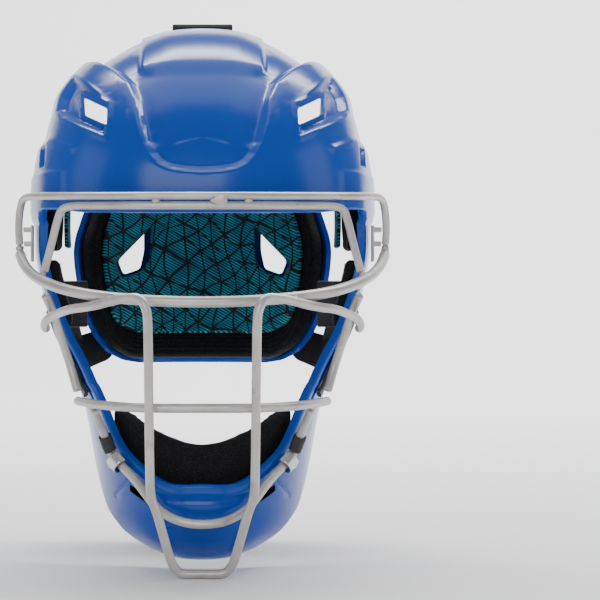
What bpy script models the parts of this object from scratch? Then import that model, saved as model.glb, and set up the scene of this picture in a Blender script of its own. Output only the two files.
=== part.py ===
"""Hockey-style catcher's mask: a one-piece front shell with a welded wire cage, padding and a
strapped back plate.

Frame: +Z up, the face looks along -Y, +X is the viewer's right from the front. The origin is
the middle of the head cavity. Lengths in the tables are millimetres, and mm() makes metres.
"""
import math

import bmesh
import bpy
from mathutils import Matrix, Vector

MM = 0.001

# --- driving dimensions, millimetres ---
SHELL_HALF_WIDTH = 104.0        # bare shell at the temples, without the raised layer
SHELL_HALF_DEPTH = 113.0
DOME_BASE_Z = 60.0
DOME_HEIGHT = 108.5             # from DOME_BASE_Z to the top of the dome
CROWN_SHIFT = 17.0              # how far back the top of the dome sits
SECTION_POWER = 2.3             # superellipse exponent of the level sections
SHELL_WALL = 3.0
RAISED_LAYER = 4.5              # brow and temple layer above the middle panel
PAD_GAP = 1.2                   # between the shell's inner face and a pad
TEMPLE_PAD = 13.0               # thickness of a temple pad

WIRE_RADIUS = 2.6
BROW_WIRE_RADIUS = 2.3
EYE_WIRE_RADIUS = 3.15
WIRE_RESOLUTION = 2             # curve bevel resolution: eight sides

PLATE_WALL = 3.0
PLATE_POWER = 2.2
PLATE_TOP = 118.0
PLATE_BOTTOM = -42.0
FOAM_THICKNESS = 9.0
LINER_THICKNESS = 3.5

WEBBING_WIDTH = 38.0
WEBBING_THICKNESS = 1.6
LEG_WIDTH = 31.0
LEG_THICKNESS = 1.5
LEG_TOP = (20.5, 22.0)          # where a leg's middle line starts, in X and Z
LEG_LIFT = 3.2                  # leg's middle over the plate
TAIL_LIFT = 6.0                 # tail's middle over the plate
TAIL_FOLD = 0.87                # part of the leg's line where its tail folds round the ring
RING_AT = (60.5, -19.5)         # ring's middle, in X and Z
RING_HALF_WIDTH = 18.0
RING_HALF_LENGTH = 4.2
RING_CORNER = 2.0
RING_WIRE_RADIUS = 1.25
PLATE_HINGE = (0.0, 45.5, 137.0)  # the back plate swings on the webbing here

CLIP_AT = 4.0                   # clip's place along JAW_HALF, in points
CLIP_FOOT = 2.0                 # middle of the clip's foot over the shell
CLIP_REACH = 2.2                # clip's bend outside the wire
SLEEVE_RUN = (4.9, 5.6)         # sleeve's stretch of JAW_HALF, in points
BUMPER_RUN = (7.4, 8.2, 9.0, 9.9)  # places along OPENING_EDGE, in points

SIDES = (("left", -1.0), ("right", 1.0))

# half widths and front extents of the level sections below the dome: (z, value)
WIDTH_BELOW = [(60, 104), (40, 104), (18, 102), (-15, 93), (-50, 79), (-62, 73.5),
               (-88, 68.5), (-107, 66), (-124, 63.5), (-136, 57), (-145, 46), (-151, 33),
               (-156, 12)]
FRONT_BELOW = [(60, 113), (0, 113), (-40, 114), (-80, 116), (-105, 118), (-126, 116),
               (-140, 108), (-150, 94), (-156, 70)]
# matching points of the face opening's edge and of the rear rim, from the top centre to the
# bottom centre of the +X half
OPENING_EDGE = [(0, -114, 50), (34, -111, 50.5), (66, -98, 52), (86, -76, 54), (96, -58, 53),
                (98, -50, 40), (96.5, -48, 22), (92, -52, 3), (84.5, -60, -18), (75, -69, -37),
                (65, -77, -57), (57, -84, -73), (48.6, -91, -84.6),
                (36, -104.4, -95.4), (20.8, -114.3, -104.1), (0, -118, -104.7)]
REAR_RIM = [(0, 42, 167), (32, 42, 161), (62, 38, 144), (86, 32, 115), (99, 28, 84),
            (104, 24, 54), (103, 20, 24), (97, 14, 0), (90, 8, -24), (83, 8, -44),
            (77, 8, -62), (70, -22, -88), (64, -46, -108), (54, -66, -128),
            (32, -80, -145), (0, -88, -151)]
# outline of the back plate: (z, half width) and its level sections
PLATE_OUTLINE = [(118, 30), (114, 42), (105, 52), (90, 63), (70, 74), (48, 82), (32, 85),
                 (10, 83), (-10, 79), (-24, 73), (-34, 65), (-40, 54), (-42, 44)]
PLATE_WIDTH = [(118, 76), (105, 83), (90, 89), (70, 93), (48, 94), (-20, 92), (-42, 88)]
PLATE_DEPTH = [(118, 86), (105, 95), (90, 102), (70, 109), (48, 113), (10, 113), (-19, 108),
               (-42, 100)]
PLATE_VENT = [(39.5, 49), (58, 24), (54, 15), (39.5, 18)]


def clear_scene():
    """Remove every object that the file starts with."""
    for item in list(bpy.data.objects):
        bpy.data.objects.remove(item, do_unlink=True)


def mm(x, y, z):
    """A point in metres from millimetres."""
    return Vector((x, y, z)) * MM


def make_material(name, colour, roughness, metallic=0.0):
    """A Principled material."""
    material = bpy.data.materials.new(name)
    material.use_nodes = True
    shader = material.node_tree.nodes["Principled BSDF"]
    shader.inputs["Base Color"].default_value = (*colour, 1.0)
    shader.inputs["Roughness"].default_value = roughness
    shader.inputs["Metallic"].default_value = metallic
    return material


def new_object(name, data, material):
    """Link one object that carries its own copy of the material."""
    item = bpy.data.objects.new(name, data)
    bpy.context.scene.collection.objects.link(item)
    data.materials.append(material.copy())
    return item


def mesh_object(name, mesh_bm, material, smooth=True):
    """Turn a bmesh into a named object."""
    mesh = bpy.data.meshes.new(name)
    mesh_bm.to_mesh(mesh)
    mesh_bm.free()
    if smooth:
        mesh.shade_smooth()
        mesh.set_sharp_from_angle(angle=math.radians(40))
    return new_object(name, mesh, material)


# --- interpolation ---

def spline_points(points, count):
    """Points on a smooth cubic through the given points, evenly by parameter."""
    points = [Vector(point) for point in points]
    spans = len(points) - 1
    result = []
    for index in range(count):
        position = index * spans / (count - 1)
        low = min(int(position), spans - 1)
        result.append(cubic_between(points, low, position - low))
    return result


def cubic_between(points, low, part):
    """Catmull-Rom value between point low and the next one."""
    def at(index):
        return points[max(0, min(len(points) - 1, index))]

    a, b, c, d = at(low - 1), at(low), at(low + 1), at(low + 2)
    return 0.5 * ((2 * b) + (c - a) * part + (2 * a - 5 * b + 4 * c - d) * part ** 2
                  + (3 * b - a - 3 * c + d) * part ** 3)


def table_value(table, z):
    """Smoothly read a table of (z, value) rows that fall in z."""
    if z >= table[0][0]:
        return float(table[0][1])
    if z <= table[-1][0]:
        return float(table[-1][1])
    for index in range(len(table) - 1):
        high, low = table[index][0], table[index + 1][0]
        if low <= z <= high:
            part = (high - z) / (high - low)
            rows = [Vector((row[1], 0.0, 0.0)) for row in table]
            return cubic_between(rows, index, part).x
    return float(table[-1][1])


def smooth_step(low, high, value):
    """0 below low, 1 above high, smooth between."""
    part = max(0.0, min(1.0, (value - low) / (high - low)))
    return part * part * (3.0 - 2.0 * part)


# --- the shell's form ---

def dome_factor(z):
    """How much a level section has shrunk in the dome."""
    rise = (z - DOME_BASE_Z) / DOME_HEIGHT
    if rise <= 0.0:
        return 1.0
    if rise >= 1.0:
        return 0.0
    return (1.0 - rise ** 2.15) ** (1.0 / 2.15)


def section_value(point):
    """Below 1 inside the shell's outer form, above 1 outside."""
    x, y, z = point
    if z > DOME_BASE_Z:
        factor = dome_factor(z)
        width = SHELL_HALF_WIDTH * factor
        depth = SHELL_HALF_DEPTH * factor
        y -= CROWN_SHIFT * smooth_step(DOME_BASE_Z, DOME_BASE_Z + DOME_HEIGHT, z)
    else:
        width = table_value(WIDTH_BELOW, z)
        depth = table_value(FRONT_BELOW, z)
    if width < 0.5:
        return 9.0
    return abs(x / width) ** SECTION_POWER + abs(y / depth) ** SECTION_POWER


def form_point(direction):
    """Where a ray from the origin leaves the shell's outer form, in millimetres."""
    low, high = 30.0, 200.0
    for _ in range(26):
        middle = 0.5 * (low + high)
        if section_value(direction * middle) < 1.0:
            low = middle
        else:
            high = middle
    return direction * low


def form_normal(direction):
    """Outward normal of the form along a ray."""
    side = direction.cross(Vector((0.31, 0.2, 0.93))).normalized() * 0.02
    other = direction.cross(side).normalized() * 0.02

    def span(step):
        """The form's chord between the rays a step to each side."""
        return form_point((direction + step).normalized()) - form_point((direction - step).normalized())

    normal = span(side).cross(span(other)).normalized()
    if normal.dot(direction) < 0.0:
        normal.negate()
    return normal


def offset_point(direction, offset):
    """A point beside the form, offset outwards in millimetres."""
    return form_point(direction) + form_normal(direction) * offset


def raised_amount(point):
    """Height of the brow and temple layer over the bare form at a point."""
    x, y, z = abs(point.x), point.y, point.z
    panel_edge = 12.0 + 21.0 * smooth_step(74.0, 92.0, z) + 20.0 * smooth_step(105.0, 150.0, z)
    beside_panel = smooth_step(panel_edge, panel_edge + 7.0, x)
    under_panel = 1.0 - smooth_step(70.0, 76.0, z)
    above_brow_edge = smooth_step(44.0, 50.0, z)
    below_crown = 1.0 - smooth_step(136.0, 150.0, z)
    return RAISED_LAYER * max(beside_panel, under_panel) * above_brow_edge * below_crown


# --- builders ---

def grid_piece(name, place, across, along, thickness, material, outward, wrap=False):
    """A sheet over a grid, given a wall by Solidify.

    place(u, v) returns millimetres for u and v from 0 to 1; outward(point) points off the
    face that place() describes, and the wall grows the other way. wrap joins u = 1 to u = 0.
    """
    sheet = bmesh.new()
    bmesh.ops.create_grid(sheet, x_segments=across, y_segments=along, size=0.5)
    for vert in sheet.verts:
        vert.co = place(vert.co.x + 0.5, vert.co.y + 0.5) * MM
    if wrap:
        bmesh.ops.remove_doubles(sheet, verts=sheet.verts, dist=0.00002)
    bmesh.ops.recalc_face_normals(sheet, faces=sheet.faces)
    sheet.faces.ensure_lookup_table()
    sheet.normal_update()
    face = sheet.faces[len(sheet.faces) // 2]
    if face.normal.dot(outward(face.calc_center_median() / MM)) < 0.0:
        bmesh.ops.reverse_faces(sheet, faces=sheet.faces)
    item = mesh_object(name, sheet, material)
    wall = item.modifiers.new("wall", "SOLIDIFY")
    wall.thickness = thickness * MM
    wall.offset = -1.0
    return item


def wire(name, points, radius, count, material):
    """A bent round wire along a smooth curve through the points."""
    return tube(name, spline_points(points, count), radius, material, closed=False)


def tube(name, route, radius, material, closed):
    """A round wire whose route points are used as they are."""
    curve = bpy.data.curves.new(name, "CURVE")
    curve.dimensions = "3D"
    curve.bevel_depth = radius * MM
    curve.bevel_resolution = WIRE_RESOLUTION
    curve.use_fill_caps = not closed
    spline = curve.splines.new("POLY")
    spline.points.add(len(route) - 1)
    for target, point in zip(spline.points, route):
        target.co = (*(point * MM), 1.0)
    spline.use_cyclic_u = closed
    return new_object(name, curve, material)


def strap(name, route, sides, width, thickness, material, count=12):
    """A flat band along a route; sides holds the width direction at each route point."""
    middle = spline_points(route, count)
    across = [side.normalized() for side in spline_points(sides, count)]
    band = bmesh.new()
    rows = []
    for index, point in enumerate(middle):
        ahead = middle[min(index + 1, count - 1)] - middle[max(index - 1, 0)]
        side = across[index] - ahead * across[index].dot(ahead) / ahead.length_squared
        side = side.normalized() * width / 2
        normal = ahead.cross(side).normalized() * thickness / 2
        corners = [(-1, -1), (1, -1), (1, 1), (-1, 1)]
        rows.append([band.verts.new((point + side * a + normal * b) * MM) for a, b in corners])
    band.faces.new(rows[0])
    band.faces.new(list(reversed(rows[-1])))
    for low, high in zip(rows, rows[1:]):
        for corner in range(4):
            nxt = (corner + 1) % 4
            band.faces.new((low[corner], high[corner], high[nxt], low[nxt]))
    bmesh.ops.recalc_face_normals(band, faces=band.faces)
    return mesh_object(name, band, material, smooth=False)


def block(name, size, centre, rotation, material, bevel=0.6):
    """A small bevelled block, turned by a 3x3 matrix whose columns are its axes."""
    solid = bmesh.new()
    bmesh.ops.create_cube(solid, size=1.0)
    bmesh.ops.scale(solid, vec=Vector(size) * MM, verts=solid.verts)
    bmesh.ops.bevel(solid, geom=solid.edges[:], offset=bevel * MM, segments=2, profile=0.5,
                    affect="EDGES", material=-1)
    bmesh.ops.transform(solid, matrix=rotation.to_4x4(), verts=solid.verts)
    bmesh.ops.translate(solid, vec=mm(*centre), verts=solid.verts)
    return mesh_object(name, solid, material, smooth=False)


def disc(name, radius, height, centre, axis, material, sides=16):
    """A short turned pin or screw head on an axis."""
    solid = bmesh.new()
    bmesh.ops.create_cone(solid, cap_ends=True, segments=sides, radius1=radius * MM,
                          radius2=radius * 0.82 * MM, depth=height * MM)
    turn = Vector((0, 0, 1)).rotation_difference(Vector(axis)).to_matrix()
    bmesh.ops.transform(solid, matrix=turn.to_4x4(), verts=solid.verts)
    bmesh.ops.translate(solid, vec=mm(*centre), verts=solid.verts)
    return mesh_object(name, solid, material)


def prism_cutter(name, outline, low_y, high_y):
    """A hidden prism along Y from an outline in X and Z."""
    return hide_cutter(name, extruded(outline, low_y, high_y))


def hide_cutter(name, solid):
    """Link a bmesh as a cutter that the build leaves out."""
    mesh = bpy.data.meshes.new(name)
    solid.to_mesh(mesh)
    solid.free()
    cutter = bpy.data.objects.new(name, mesh)
    bpy.context.scene.collection.objects.link(cutter)
    cutter.hide_render = True
    cutter.display_type = "WIRE"
    return cutter


def box_cutter(name, size, centre, rotation):
    """A hidden block for slots."""
    solid = bmesh.new()
    bmesh.ops.create_cube(solid, size=1.0)
    bmesh.ops.scale(solid, vec=Vector(size) * MM, verts=solid.verts)
    bmesh.ops.transform(solid, matrix=rotation.to_4x4(), verts=solid.verts)
    bmesh.ops.translate(solid, vec=mm(*centre), verts=solid.verts)
    return hide_cutter(name, solid)


def cut(item, cutter):
    """Subtract a cutter with the exact solver."""
    boolean = item.modifiers.new("cut_" + cutter.name, "BOOLEAN")
    boolean.operation = "DIFFERENCE"
    boolean.solver = "EXACT"
    boolean.object = cutter


def axes(first, second):
    """Columns: first, second made square to it, and their cross product."""
    x_axis = Vector(first).normalized()
    y_axis = (Vector(second) - x_axis * x_axis.dot(Vector(second))).normalized()
    z_axis = x_axis.cross(y_axis)
    return Matrix((x_axis, y_axis, z_axis)).transposed()


def hang_on_pivot(name, place, items):
    """Parent pieces to an empty on their joint's axis, without moving them."""
    pivot = bpy.data.objects.new(name, None)
    bpy.context.scene.collection.objects.link(pivot)
    pivot.location = place * MM
    for item in items:
        item.parent = pivot
        item.matrix_parent_inverse = Matrix.Translation(-pivot.location)


def away_from_origin(point):
    """Outward direction for the shell's pieces."""
    return point


# --- front shell ---

def loop_direction(table, u):
    """Unit direction to a mirrored loop at u from 0 to 1 (0 and 1 at the top centre)."""
    side = 1.0 if u <= 0.5 else -1.0
    part = u * 2.0 if u <= 0.5 else 2.0 - u * 2.0
    position = part * (len(table) - 1)
    low = min(int(position), len(table) - 2)
    rows = [Vector(row) for row in table]
    point = cubic_between(rows, low, position - low)
    if part in (0.0, 1.0):
        point.x = 0.0
    return Vector((point.x * side, point.y, point.z)).normalized()


def shell_place(u, v):
    """The shell's outer face: u round the face opening, v from the opening to the rear rim."""
    inner = loop_direction(OPENING_EDGE, u)
    outer = loop_direction(REAR_RIM, u)
    direction = inner.slerp(outer, v)
    point = form_point(direction)
    edge_fade = min(1.0, (1.0 - v) / 0.04 + 0.4)
    return point + form_normal(direction) * raised_amount(point) * edge_fade


def build_front_shell(material):
    """The one-piece helmet, cheek and chin shell with its vents and webbing slots."""
    shell = grid_piece("front_shell", shell_place, 64, 11, SHELL_WALL, material,
                       away_from_origin, wrap=True)
    for side_name, side in SIDES:
        vent = [(side * 57.0, 104.0), (side * 69.5, 112.0), (side * 70.0, 119.5),
                (side * 56.0, 111.5)]
        if side < 0:
            vent.reverse()
        cut(shell, prism_cutter("temple_vent_" + side_name, vent, -130.0, -30.0))
        slot = [(side * 22.0, -118.0), (side * 42.0, -106.5), (side * 42.0, -110.5),
                (side * 24.0, -121.5)]
        cut(shell, prism_cutter("chin_slot_" + side_name, slot, -140.0, -60.0))
    for index, y in enumerate((14.0, 26.0)):
        cut(shell, box_cutter(f"webbing_slot_{index}", (41.0, 3.6, 24.0), (0, y, 167),
                              Matrix.Identity(3)))
    return shell


# --- pads inside the shell ---

def pad_place(azimuths, elevations, depth):
    """A patch beside the shell's inner face, by angles in degrees round the head."""
    def place(u, v):
        azimuth = math.radians(azimuths[0] + (azimuths[1] - azimuths[0]) * u)
        elevation = math.radians(elevations[0] + (elevations[1] - elevations[0]) * v)
        direction = Vector((math.sin(azimuth) * math.cos(elevation),
                            -math.cos(azimuth) * math.cos(elevation), math.sin(elevation)))
        return offset_point(direction, -depth)
    return place


def build_pads(foam, liner, rubber):
    """Foam pads and fabric liners, each a plain closed solid."""
    against_wall = SHELL_WALL + PAD_GAP
    grid_piece("brow_pad", pad_place((-34, 34), (32, 50), against_wall), 12, 5, 15.0, foam,
               away_from_origin)
    for side_name, side in SIDES:
        crown = crown_pad_place(side)
        grid_piece("crown_pad_" + side_name, crown, 5, 3, 16.0, foam, away_from_origin)
        temple = pad_place((side * 78, side * 100), (14.4, 42), against_wall)
        grid_piece("temple_pad_" + side_name, temple, 6, 6, TEMPLE_PAD, foam, away_from_origin)
        cover = pad_place((side * 80, side * 98.5), (16.5, 40), against_wall + TEMPLE_PAD + 0.8)
        grid_piece("temple_liner_" + side_name, cover, 6, 6, 3.0, liner, away_from_origin)
        cheek = pad_place((side * 63, side * 85), (-12, 13.5), against_wall)
        grid_piece("cheek_pad_" + side_name, cheek, 5, 6, 10.0, foam, away_from_origin)
        jaw = pad_place((side * 60, side * 82), (-52, -31), against_wall)
        grid_piece("jaw_pad_" + side_name, jaw, 5, 5, 8.0, foam, away_from_origin)
        ear = pad_place((side * 88, side * 94.5), (-15, 12), against_wall)
        grid_piece("ear_guard_" + side_name, ear, 3, 7, 4.0, rubber, away_from_origin)


def crown_pad_place(side):
    """A pad under the crown near the rear rim."""
    def place(u, v):
        x = side * (1.6 + 52.0 * u)
        y = 30.5 + 13.0 * v
        direction = Vector((x, y, 160.0 - 16.0 * u * u)).normalized()
        return offset_point(direction, -(SHELL_WALL + PAD_GAP))
    return place


def chin_pad_place(u, v):
    """The chin cup's front face: u across, v from the top edge to the lower edge."""
    across = 2.0 * u - 1.0
    x = 57.5 * across
    top = -82.5 + 20.0 * abs(across) ** 1.7
    bottom = -143.0 + 22.0 * abs(across) ** 3.0
    z = top + (bottom - top) * v
    depth = table_value(FRONT_BELOW, z) - 14.0 - 1.0 * v
    width = table_value(WIDTH_BELOW, z) + 3.0
    y = -depth * (max(0.02, 1.0 - abs(x / width) ** 2.1)) ** (1.0 / 2.1)
    return Vector((x * 0.95, max(y, -110.0), z))


def build_chin_pad(foam):
    """The foam chin cup behind the chin guard."""
    grid_piece("chin_pad", chin_pad_place, 14, 6, 11.0, foam, lambda p: Vector((0, -1, 0)))


# --- cage ---

def mirrored(points):
    """A symmetric run: the -X half reversed, then the given +X half."""
    left = [(-x, y, z) for x, y, z in reversed(points) if x > 0.01]
    return left + list(points)


def flip(points, side):
    """Points moved to one side."""
    return [(x * side, y, z) for x, y, z in points]


UPPER_BROW_HALF = [(0, -127.5, 58.7), (35, -125.0, 58.8), (66, -112.0, 59.4), (88, -92.0, 60.4),
                   (101, -70.0, 61.2), (107, -57.0, 60.0), (109.4, -52.0, 54.0),
                   (110.4, -50.0, 44.0), (110.0, -49.0, 33.0)]
LOWER_BROW_HALF = [(0, -127.5, 53.4), (35, -125.0, 53.5), (60, -115.2, 53.8), (74, -105.5, 54.0),
                   (81, -100.0, 52.0), (84, -98.5, 45.0), (87.5, -98.3, 31.0),
                   (91.5, -96.8, 16.5)]
EYE_HALF = [(0, -160.0, -1.0), (28, -156.5, -0.3), (56, -144.0, 2.0), (76, -127.0, 5.5),
            (91, -104.0, 10.5), (100, -84.0, 15.5), (106, -66.0, 21.5), (109.5, -51.0, 27.5)]
MOUTH_HALF = [(0, -157.0, -59.5), (30, -154.3, -59.5), (50, -137.5, -59.3), (63, -116.0, -59.0),
              (72.5, -94.0, -58.5)]
SIDE_WIRE = [(91.0, -97.0, 3.0), (87.5, -90.0, -6.0), (83.5, -85.0, -19.0), (77.5, -83.0, -38.0),
             (73.0, -87.5, -53.0)]
SHOULDER_HALF = [(91.5, -80.5, -17.0), (92.2, -86.0, -14.8), (89.8, -94.5, -11.2),
                 (84.5, -104.0, -8.4), (75.5, -122.0, -5.4), (67.0, -137.0, -4.2),
                 (59.0, -147.8, -2.8), (51.0, -153.8, -0.8), (43.0, -159.0, 0.8),
                 (35.0, -164.5, 0.8), (31.0, -167.0, -4.5), (29.8, -166.6, -14.0),
                 (29.4, -162.0, -50.0),
                 (29.0, -156.5, -90.0), (28.4, -151.5, -108.0), (25.0, -147.5, -119.0),
                 (18.5, -139.0, -143.0), (15.5, -136.5, -150.0), (11.0, -135.8, -153.3),
                 (0, -135.6, -153.6)]
JAW_HALF = [(0, -129.8, -126.2), (14, -127.6, -124.2), (26, -121.6, -117.4), (38.5, -110.3, -103.0),
            (48.8, -99.0, -93.2), (53.5, -99.0, -86.0), (58.0, -105.0, -73.0),
            (61.6, -113.6, -62.6)]


def build_cage(metal):
    """The powder-coated wires, each one bent wire, welded where they nearly touch."""
    wire("upper_brow_bar", mirrored(UPPER_BROW_HALF), BROW_WIRE_RADIUS, 37, metal)
    wire("lower_brow_bar", mirrored(LOWER_BROW_HALF), BROW_WIRE_RADIUS, 35, metal)
    wire("eye_bar", mirrored(EYE_HALF), EYE_WIRE_RADIUS, 33, metal)
    wire("mouth_bar", mirrored(MOUTH_HALF), WIRE_RADIUS, 21, metal)
    down_run = list(reversed(SHOULDER_HALF))
    wire("centre_loop_wire", mirrored(down_run), WIRE_RADIUS, 79, metal)
    wire("jaw_wire", mirrored(JAW_HALF), WIRE_RADIUS, 37, metal)
    for side_name, side in SIDES:
        wire("side_wire_" + side_name, flip(SIDE_WIRE, side), WIRE_RADIUS, 12, metal)
    tab = [(4.0, 55.9), (10.5, 59.4), (14.0, 59.4), (14.0, 53.0), (11.0, 52.2)]
    mesh_object("brow_weld_tab", extruded(tab, -131.6, -130.1), metal, smooth=False)


def build_cage_fixings(metal, rubber, nickel):
    """Side brackets, rubber bumper strips, and the lower clips with their screws."""
    for side_name, side in SIDES:
        build_bumper(side_name, side, rubber)
        build_bracket(side_name, side, metal)
        build_lower_clip(side_name, side, rubber, nickel)


def build_bumper(side_name, side, rubber):
    """A rubber strip on the cheek beside the face opening, behind the side wire."""
    route, across = [], []
    for station in BUMPER_RUN:
        u = station / (len(OPENING_EDGE) - 1) / 2.0
        u = u if side > 0 else 1.0 - u
        inner = loop_direction(OPENING_EDGE, u)
        outer = loop_direction(REAR_RIM, u)
        route.append(offset_point(inner.slerp(outer, 0.13), 2.2))
        across.append(form_point(inner.slerp(outer, 0.2)) - form_point(inner.slerp(outer, 0.06)))
    strap("cage_bumper_" + side_name, route, across, 8.0, 3.0, rubber, count=9)


def build_bracket(side_name, side, metal):
    """A flat plate beside the shell's cheek with two rungs that reach the cage wire."""
    profile = [(101.8, 23.0), (103.2, 23.0), (103.2, 32.3), (107.3, 32.3), (107.3, 35.3),
               (103.2, 35.3), (103.2, 40.8), (107.6, 40.8), (107.6, 43.8), (103.2, 43.8),
               (103.2, 45.0), (101.8, 45.0)]
    solid = extruded([(x * side, z) for x, z in profile], -51.0, -42.0)
    mesh_object("upper_bracket_" + side_name, solid, metal, smooth=False)


def extruded(outline, low_y, high_y):
    """A bmesh prism along Y from an outline in X and Z."""
    solid = bmesh.new()
    base = solid.faces.new([solid.verts.new(mm(x, low_y, z)) for x, z in outline])
    grown = bmesh.ops.extrude_face_region(solid, geom=[base])
    moved = [part for part in grown["geom"] if isinstance(part, bmesh.types.BMVert)]
    bmesh.ops.translate(solid, vec=mm(0, high_y - low_y, 0), verts=moved)
    bmesh.ops.recalc_face_normals(solid, faces=solid.faces)
    return solid


def build_lower_clip(side_name, side, rubber, nickel):
    """A clip bent over the jaw wire, its screw, and the rubber sleeve beside it."""
    rows = [Vector(row) for row in flip(JAW_HALF, side)]

    def jaw_at(position):
        return cubic_between(rows, int(position), position - int(position))

    middle = jaw_at(CLIP_AT)
    tangent = (jaw_at(CLIP_AT + 0.1) - jaw_at(CLIP_AT - 0.1)).normalized()
    normal = form_normal(middle.normalized())
    normal = (normal - tangent * normal.dot(tangent)).normalized()
    outward = normal.cross(tangent) * -side
    reach = WIRE_RADIUS + CLIP_REACH

    def over_shell(distance, height):
        """A point beside the clip, at a height over the shell."""
        return offset_point((middle + outward * distance).normalized(), height)

    route = [over_shell(13.5, CLIP_FOOT), over_shell(8.5, CLIP_FOOT),
             over_shell(reach + 1.0, CLIP_FOOT + 1.6), middle + outward * reach,
             middle + (outward + normal) * reach * 0.74, middle + normal * reach,
             middle + (normal - outward) * reach * 0.74, middle - outward * reach]
    strap("lower_clip_" + side_name, route, [tangent] * len(route), 8.0, 1.2, nickel, count=15)
    seat = (middle + outward * 10.8).normalized()
    disc("clip_screw_" + side_name, 3.1, 2.0, offset_point(seat, CLIP_FOOT + 2.5),
         form_normal(seat), nickel)
    low, high = SLEEVE_RUN
    stations = [jaw_at(low + (high - low) * step / 5.0) for step in range(6)]
    sleeve("wire_sleeve_" + side_name, stations, WIRE_RADIUS + 0.45, WIRE_RADIUS + 1.5, rubber)


def sleeve(name, stations, inner_radius, outer_radius, material, sides=10):
    """A closed tube wall along stations: outer skin, inner skin and two end rings."""
    wall = bmesh.new()
    loops = []
    for radius, order in ((outer_radius, stations), (inner_radius, list(reversed(stations)))):
        for index, point in enumerate(order):
            ahead = order[min(index + 1, len(order) - 1)] - order[max(index - 1, 0)]
            if radius == inner_radius:
                ahead.negate()
            side = ahead.cross(Vector((0, 0, 1))).normalized()
            up = side.cross(ahead).normalized()
            ring = []
            for step in range(sides):
                angle = 2.0 * math.pi * step / sides
                offset = side * math.cos(angle) + up * math.sin(angle)
                ring.append(wall.verts.new((point + offset * radius) * MM))
            loops.append(ring)
    for index in range(len(loops)):
        low, high = loops[index], loops[(index + 1) % len(loops)]
        for step in range(sides):
            nxt = (step + 1) % sides
            wall.faces.new((low[step], low[nxt], high[nxt], high[step]))
    bmesh.ops.recalc_face_normals(wall, faces=wall.faces)
    return mesh_object(name, wall, material)


# --- back plate ---

def plate_y(x, z):
    """Outer face of the back plate over a point in X and Z."""
    width = table_value(PLATE_WIDTH, z)
    depth = table_value(PLATE_DEPTH, z)
    return depth * max(0.01, 1.0 - abs(x / width) ** PLATE_POWER) ** (1.0 / PLATE_POWER)


def plate_point(x, z, offset):
    """A point beside the back plate's outer face."""
    here = Vector((x, plate_y(x, z), z))
    right = Vector((x + 0.5, plate_y(x + 0.5, z), z)) - here
    up = Vector((x, plate_y(x, z + 0.5), z + 0.5)) - here
    normal = up.cross(right).normalized()
    return here + normal * offset, normal


def plate_place(inset, offset, low_inset=None, corner=1.0):
    """The plate's outline shrunk by an inset, at an offset from its outer face.

    low_inset is the inset at the lower edge, whose corners are rounded by corner.
    """
    low_inset = inset if low_inset is None else low_inset

    def place(u, v):
        across = 2.0 * u - 1.0
        low = PLATE_BOTTOM + low_inset
        z = low + (PLATE_TOP - inset - low) * v
        near = max(0.0, 1.0 - (z - low) / corner)
        limit = table_value(PLATE_OUTLINE, z) - inset - corner * (1.0 - math.sqrt(1.0 - near * near))
        return plate_point(across * limit, z, offset)[0]
    return place


def backward(point):
    """Outward direction for the back plate's pieces."""
    return Vector((point.x, point.y, 0.0))


def build_back_plate(gloss, foam, liner):
    """Occipital plate with its rim foam and liner, all pierced by two vents.

    Returns the three layers.
    """
    layers = [
        grid_piece("back_plate", plate_place(0.0, 0.0), 16, 12, PLATE_WALL, gloss, backward),
        grid_piece("back_plate_foam", plate_place(1.5, -(PLATE_WALL + 1.6)), 16, 12,
                   FOAM_THICKNESS, foam, backward),
        grid_piece("back_plate_liner",
                   plate_place(6.0, -(PLATE_WALL + FOAM_THICKNESS + 2.8), 14.0, 20.0),
                   14, 14, LINER_THICKNESS, liner, backward),
    ]
    for side_name, side in SIDES:
        outline = [(x * side, z) for x, z in PLATE_VENT]
        cutter = prism_cutter("plate_vent_" + side_name, outline, 50.0, 130.0)
        for layer in layers:
            cut(layer, cutter)
    return layers


# --- straps ---

def leg_frame(part, side, lift):
    """Point, width direction and normal on the leg's line over the plate."""
    x = LEG_TOP[0] + (RING_AT[0] - LEG_TOP[0]) * part
    z = LEG_TOP[1] + (RING_AT[1] - LEG_TOP[1]) * part
    point, normal = plate_point(x * side, z, lift)
    ahead = Vector(((RING_AT[0] - LEG_TOP[0]) * side, 0.0, RING_AT[1] - LEG_TOP[1]))
    ahead = (ahead - normal * ahead.dot(normal)).normalized()
    return point, ahead, normal.cross(ahead).normalized(), normal


def build_crown_straps(webbing, leather):
    """The loop sewn to the shell, the webbing down the back plate and the patch.

    Returns the webbing and the patch, which swing with the back plate.
    """
    sideways = (1.0, 0.0, 0.0)
    loop = [(0, 13.0, 156), (0, 13.9, 168), (0, 17.0, 173.3), (0, 21.0, 173.9), (0, 25.2, 171.5),
            (0, 26.2, 164), (0, 25.4, 150), (0, 27.5, 141.5), (0, 34.0, 138.2), (0, 44.0, 137.4)]
    strap("crown_loop", loop, [sideways] * len(loop), WEBBING_WIDTH, WEBBING_THICKNESS, webbing,
          count=26)
    run = [Vector((0, 47.2, 136.4)), Vector((0, 62.0, 131.5)), Vector((0, 78.0, 124.8))]
    run += [plate_point(0, z, 3.0)[0] for z in (118, 108, 96, 84, 74, 64.5)]
    down_plate = strap("crown_webbing", run, [sideways] * len(run), WEBBING_WIDTH,
                       WEBBING_THICKNESS, webbing, count=20)
    patch = [plate_point(0, z, 5.6)[0] for z in (62, 18)]
    up = (patch[0] - patch[1]).normalized()
    sewn_on = block("strap_patch", (41.5, 44.0, 2.4), (patch[0] + patch[1]) / 2,
                    axes((1, 0, 0), up), leather, 0.5)
    return [down_plate, sewn_on]


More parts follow.
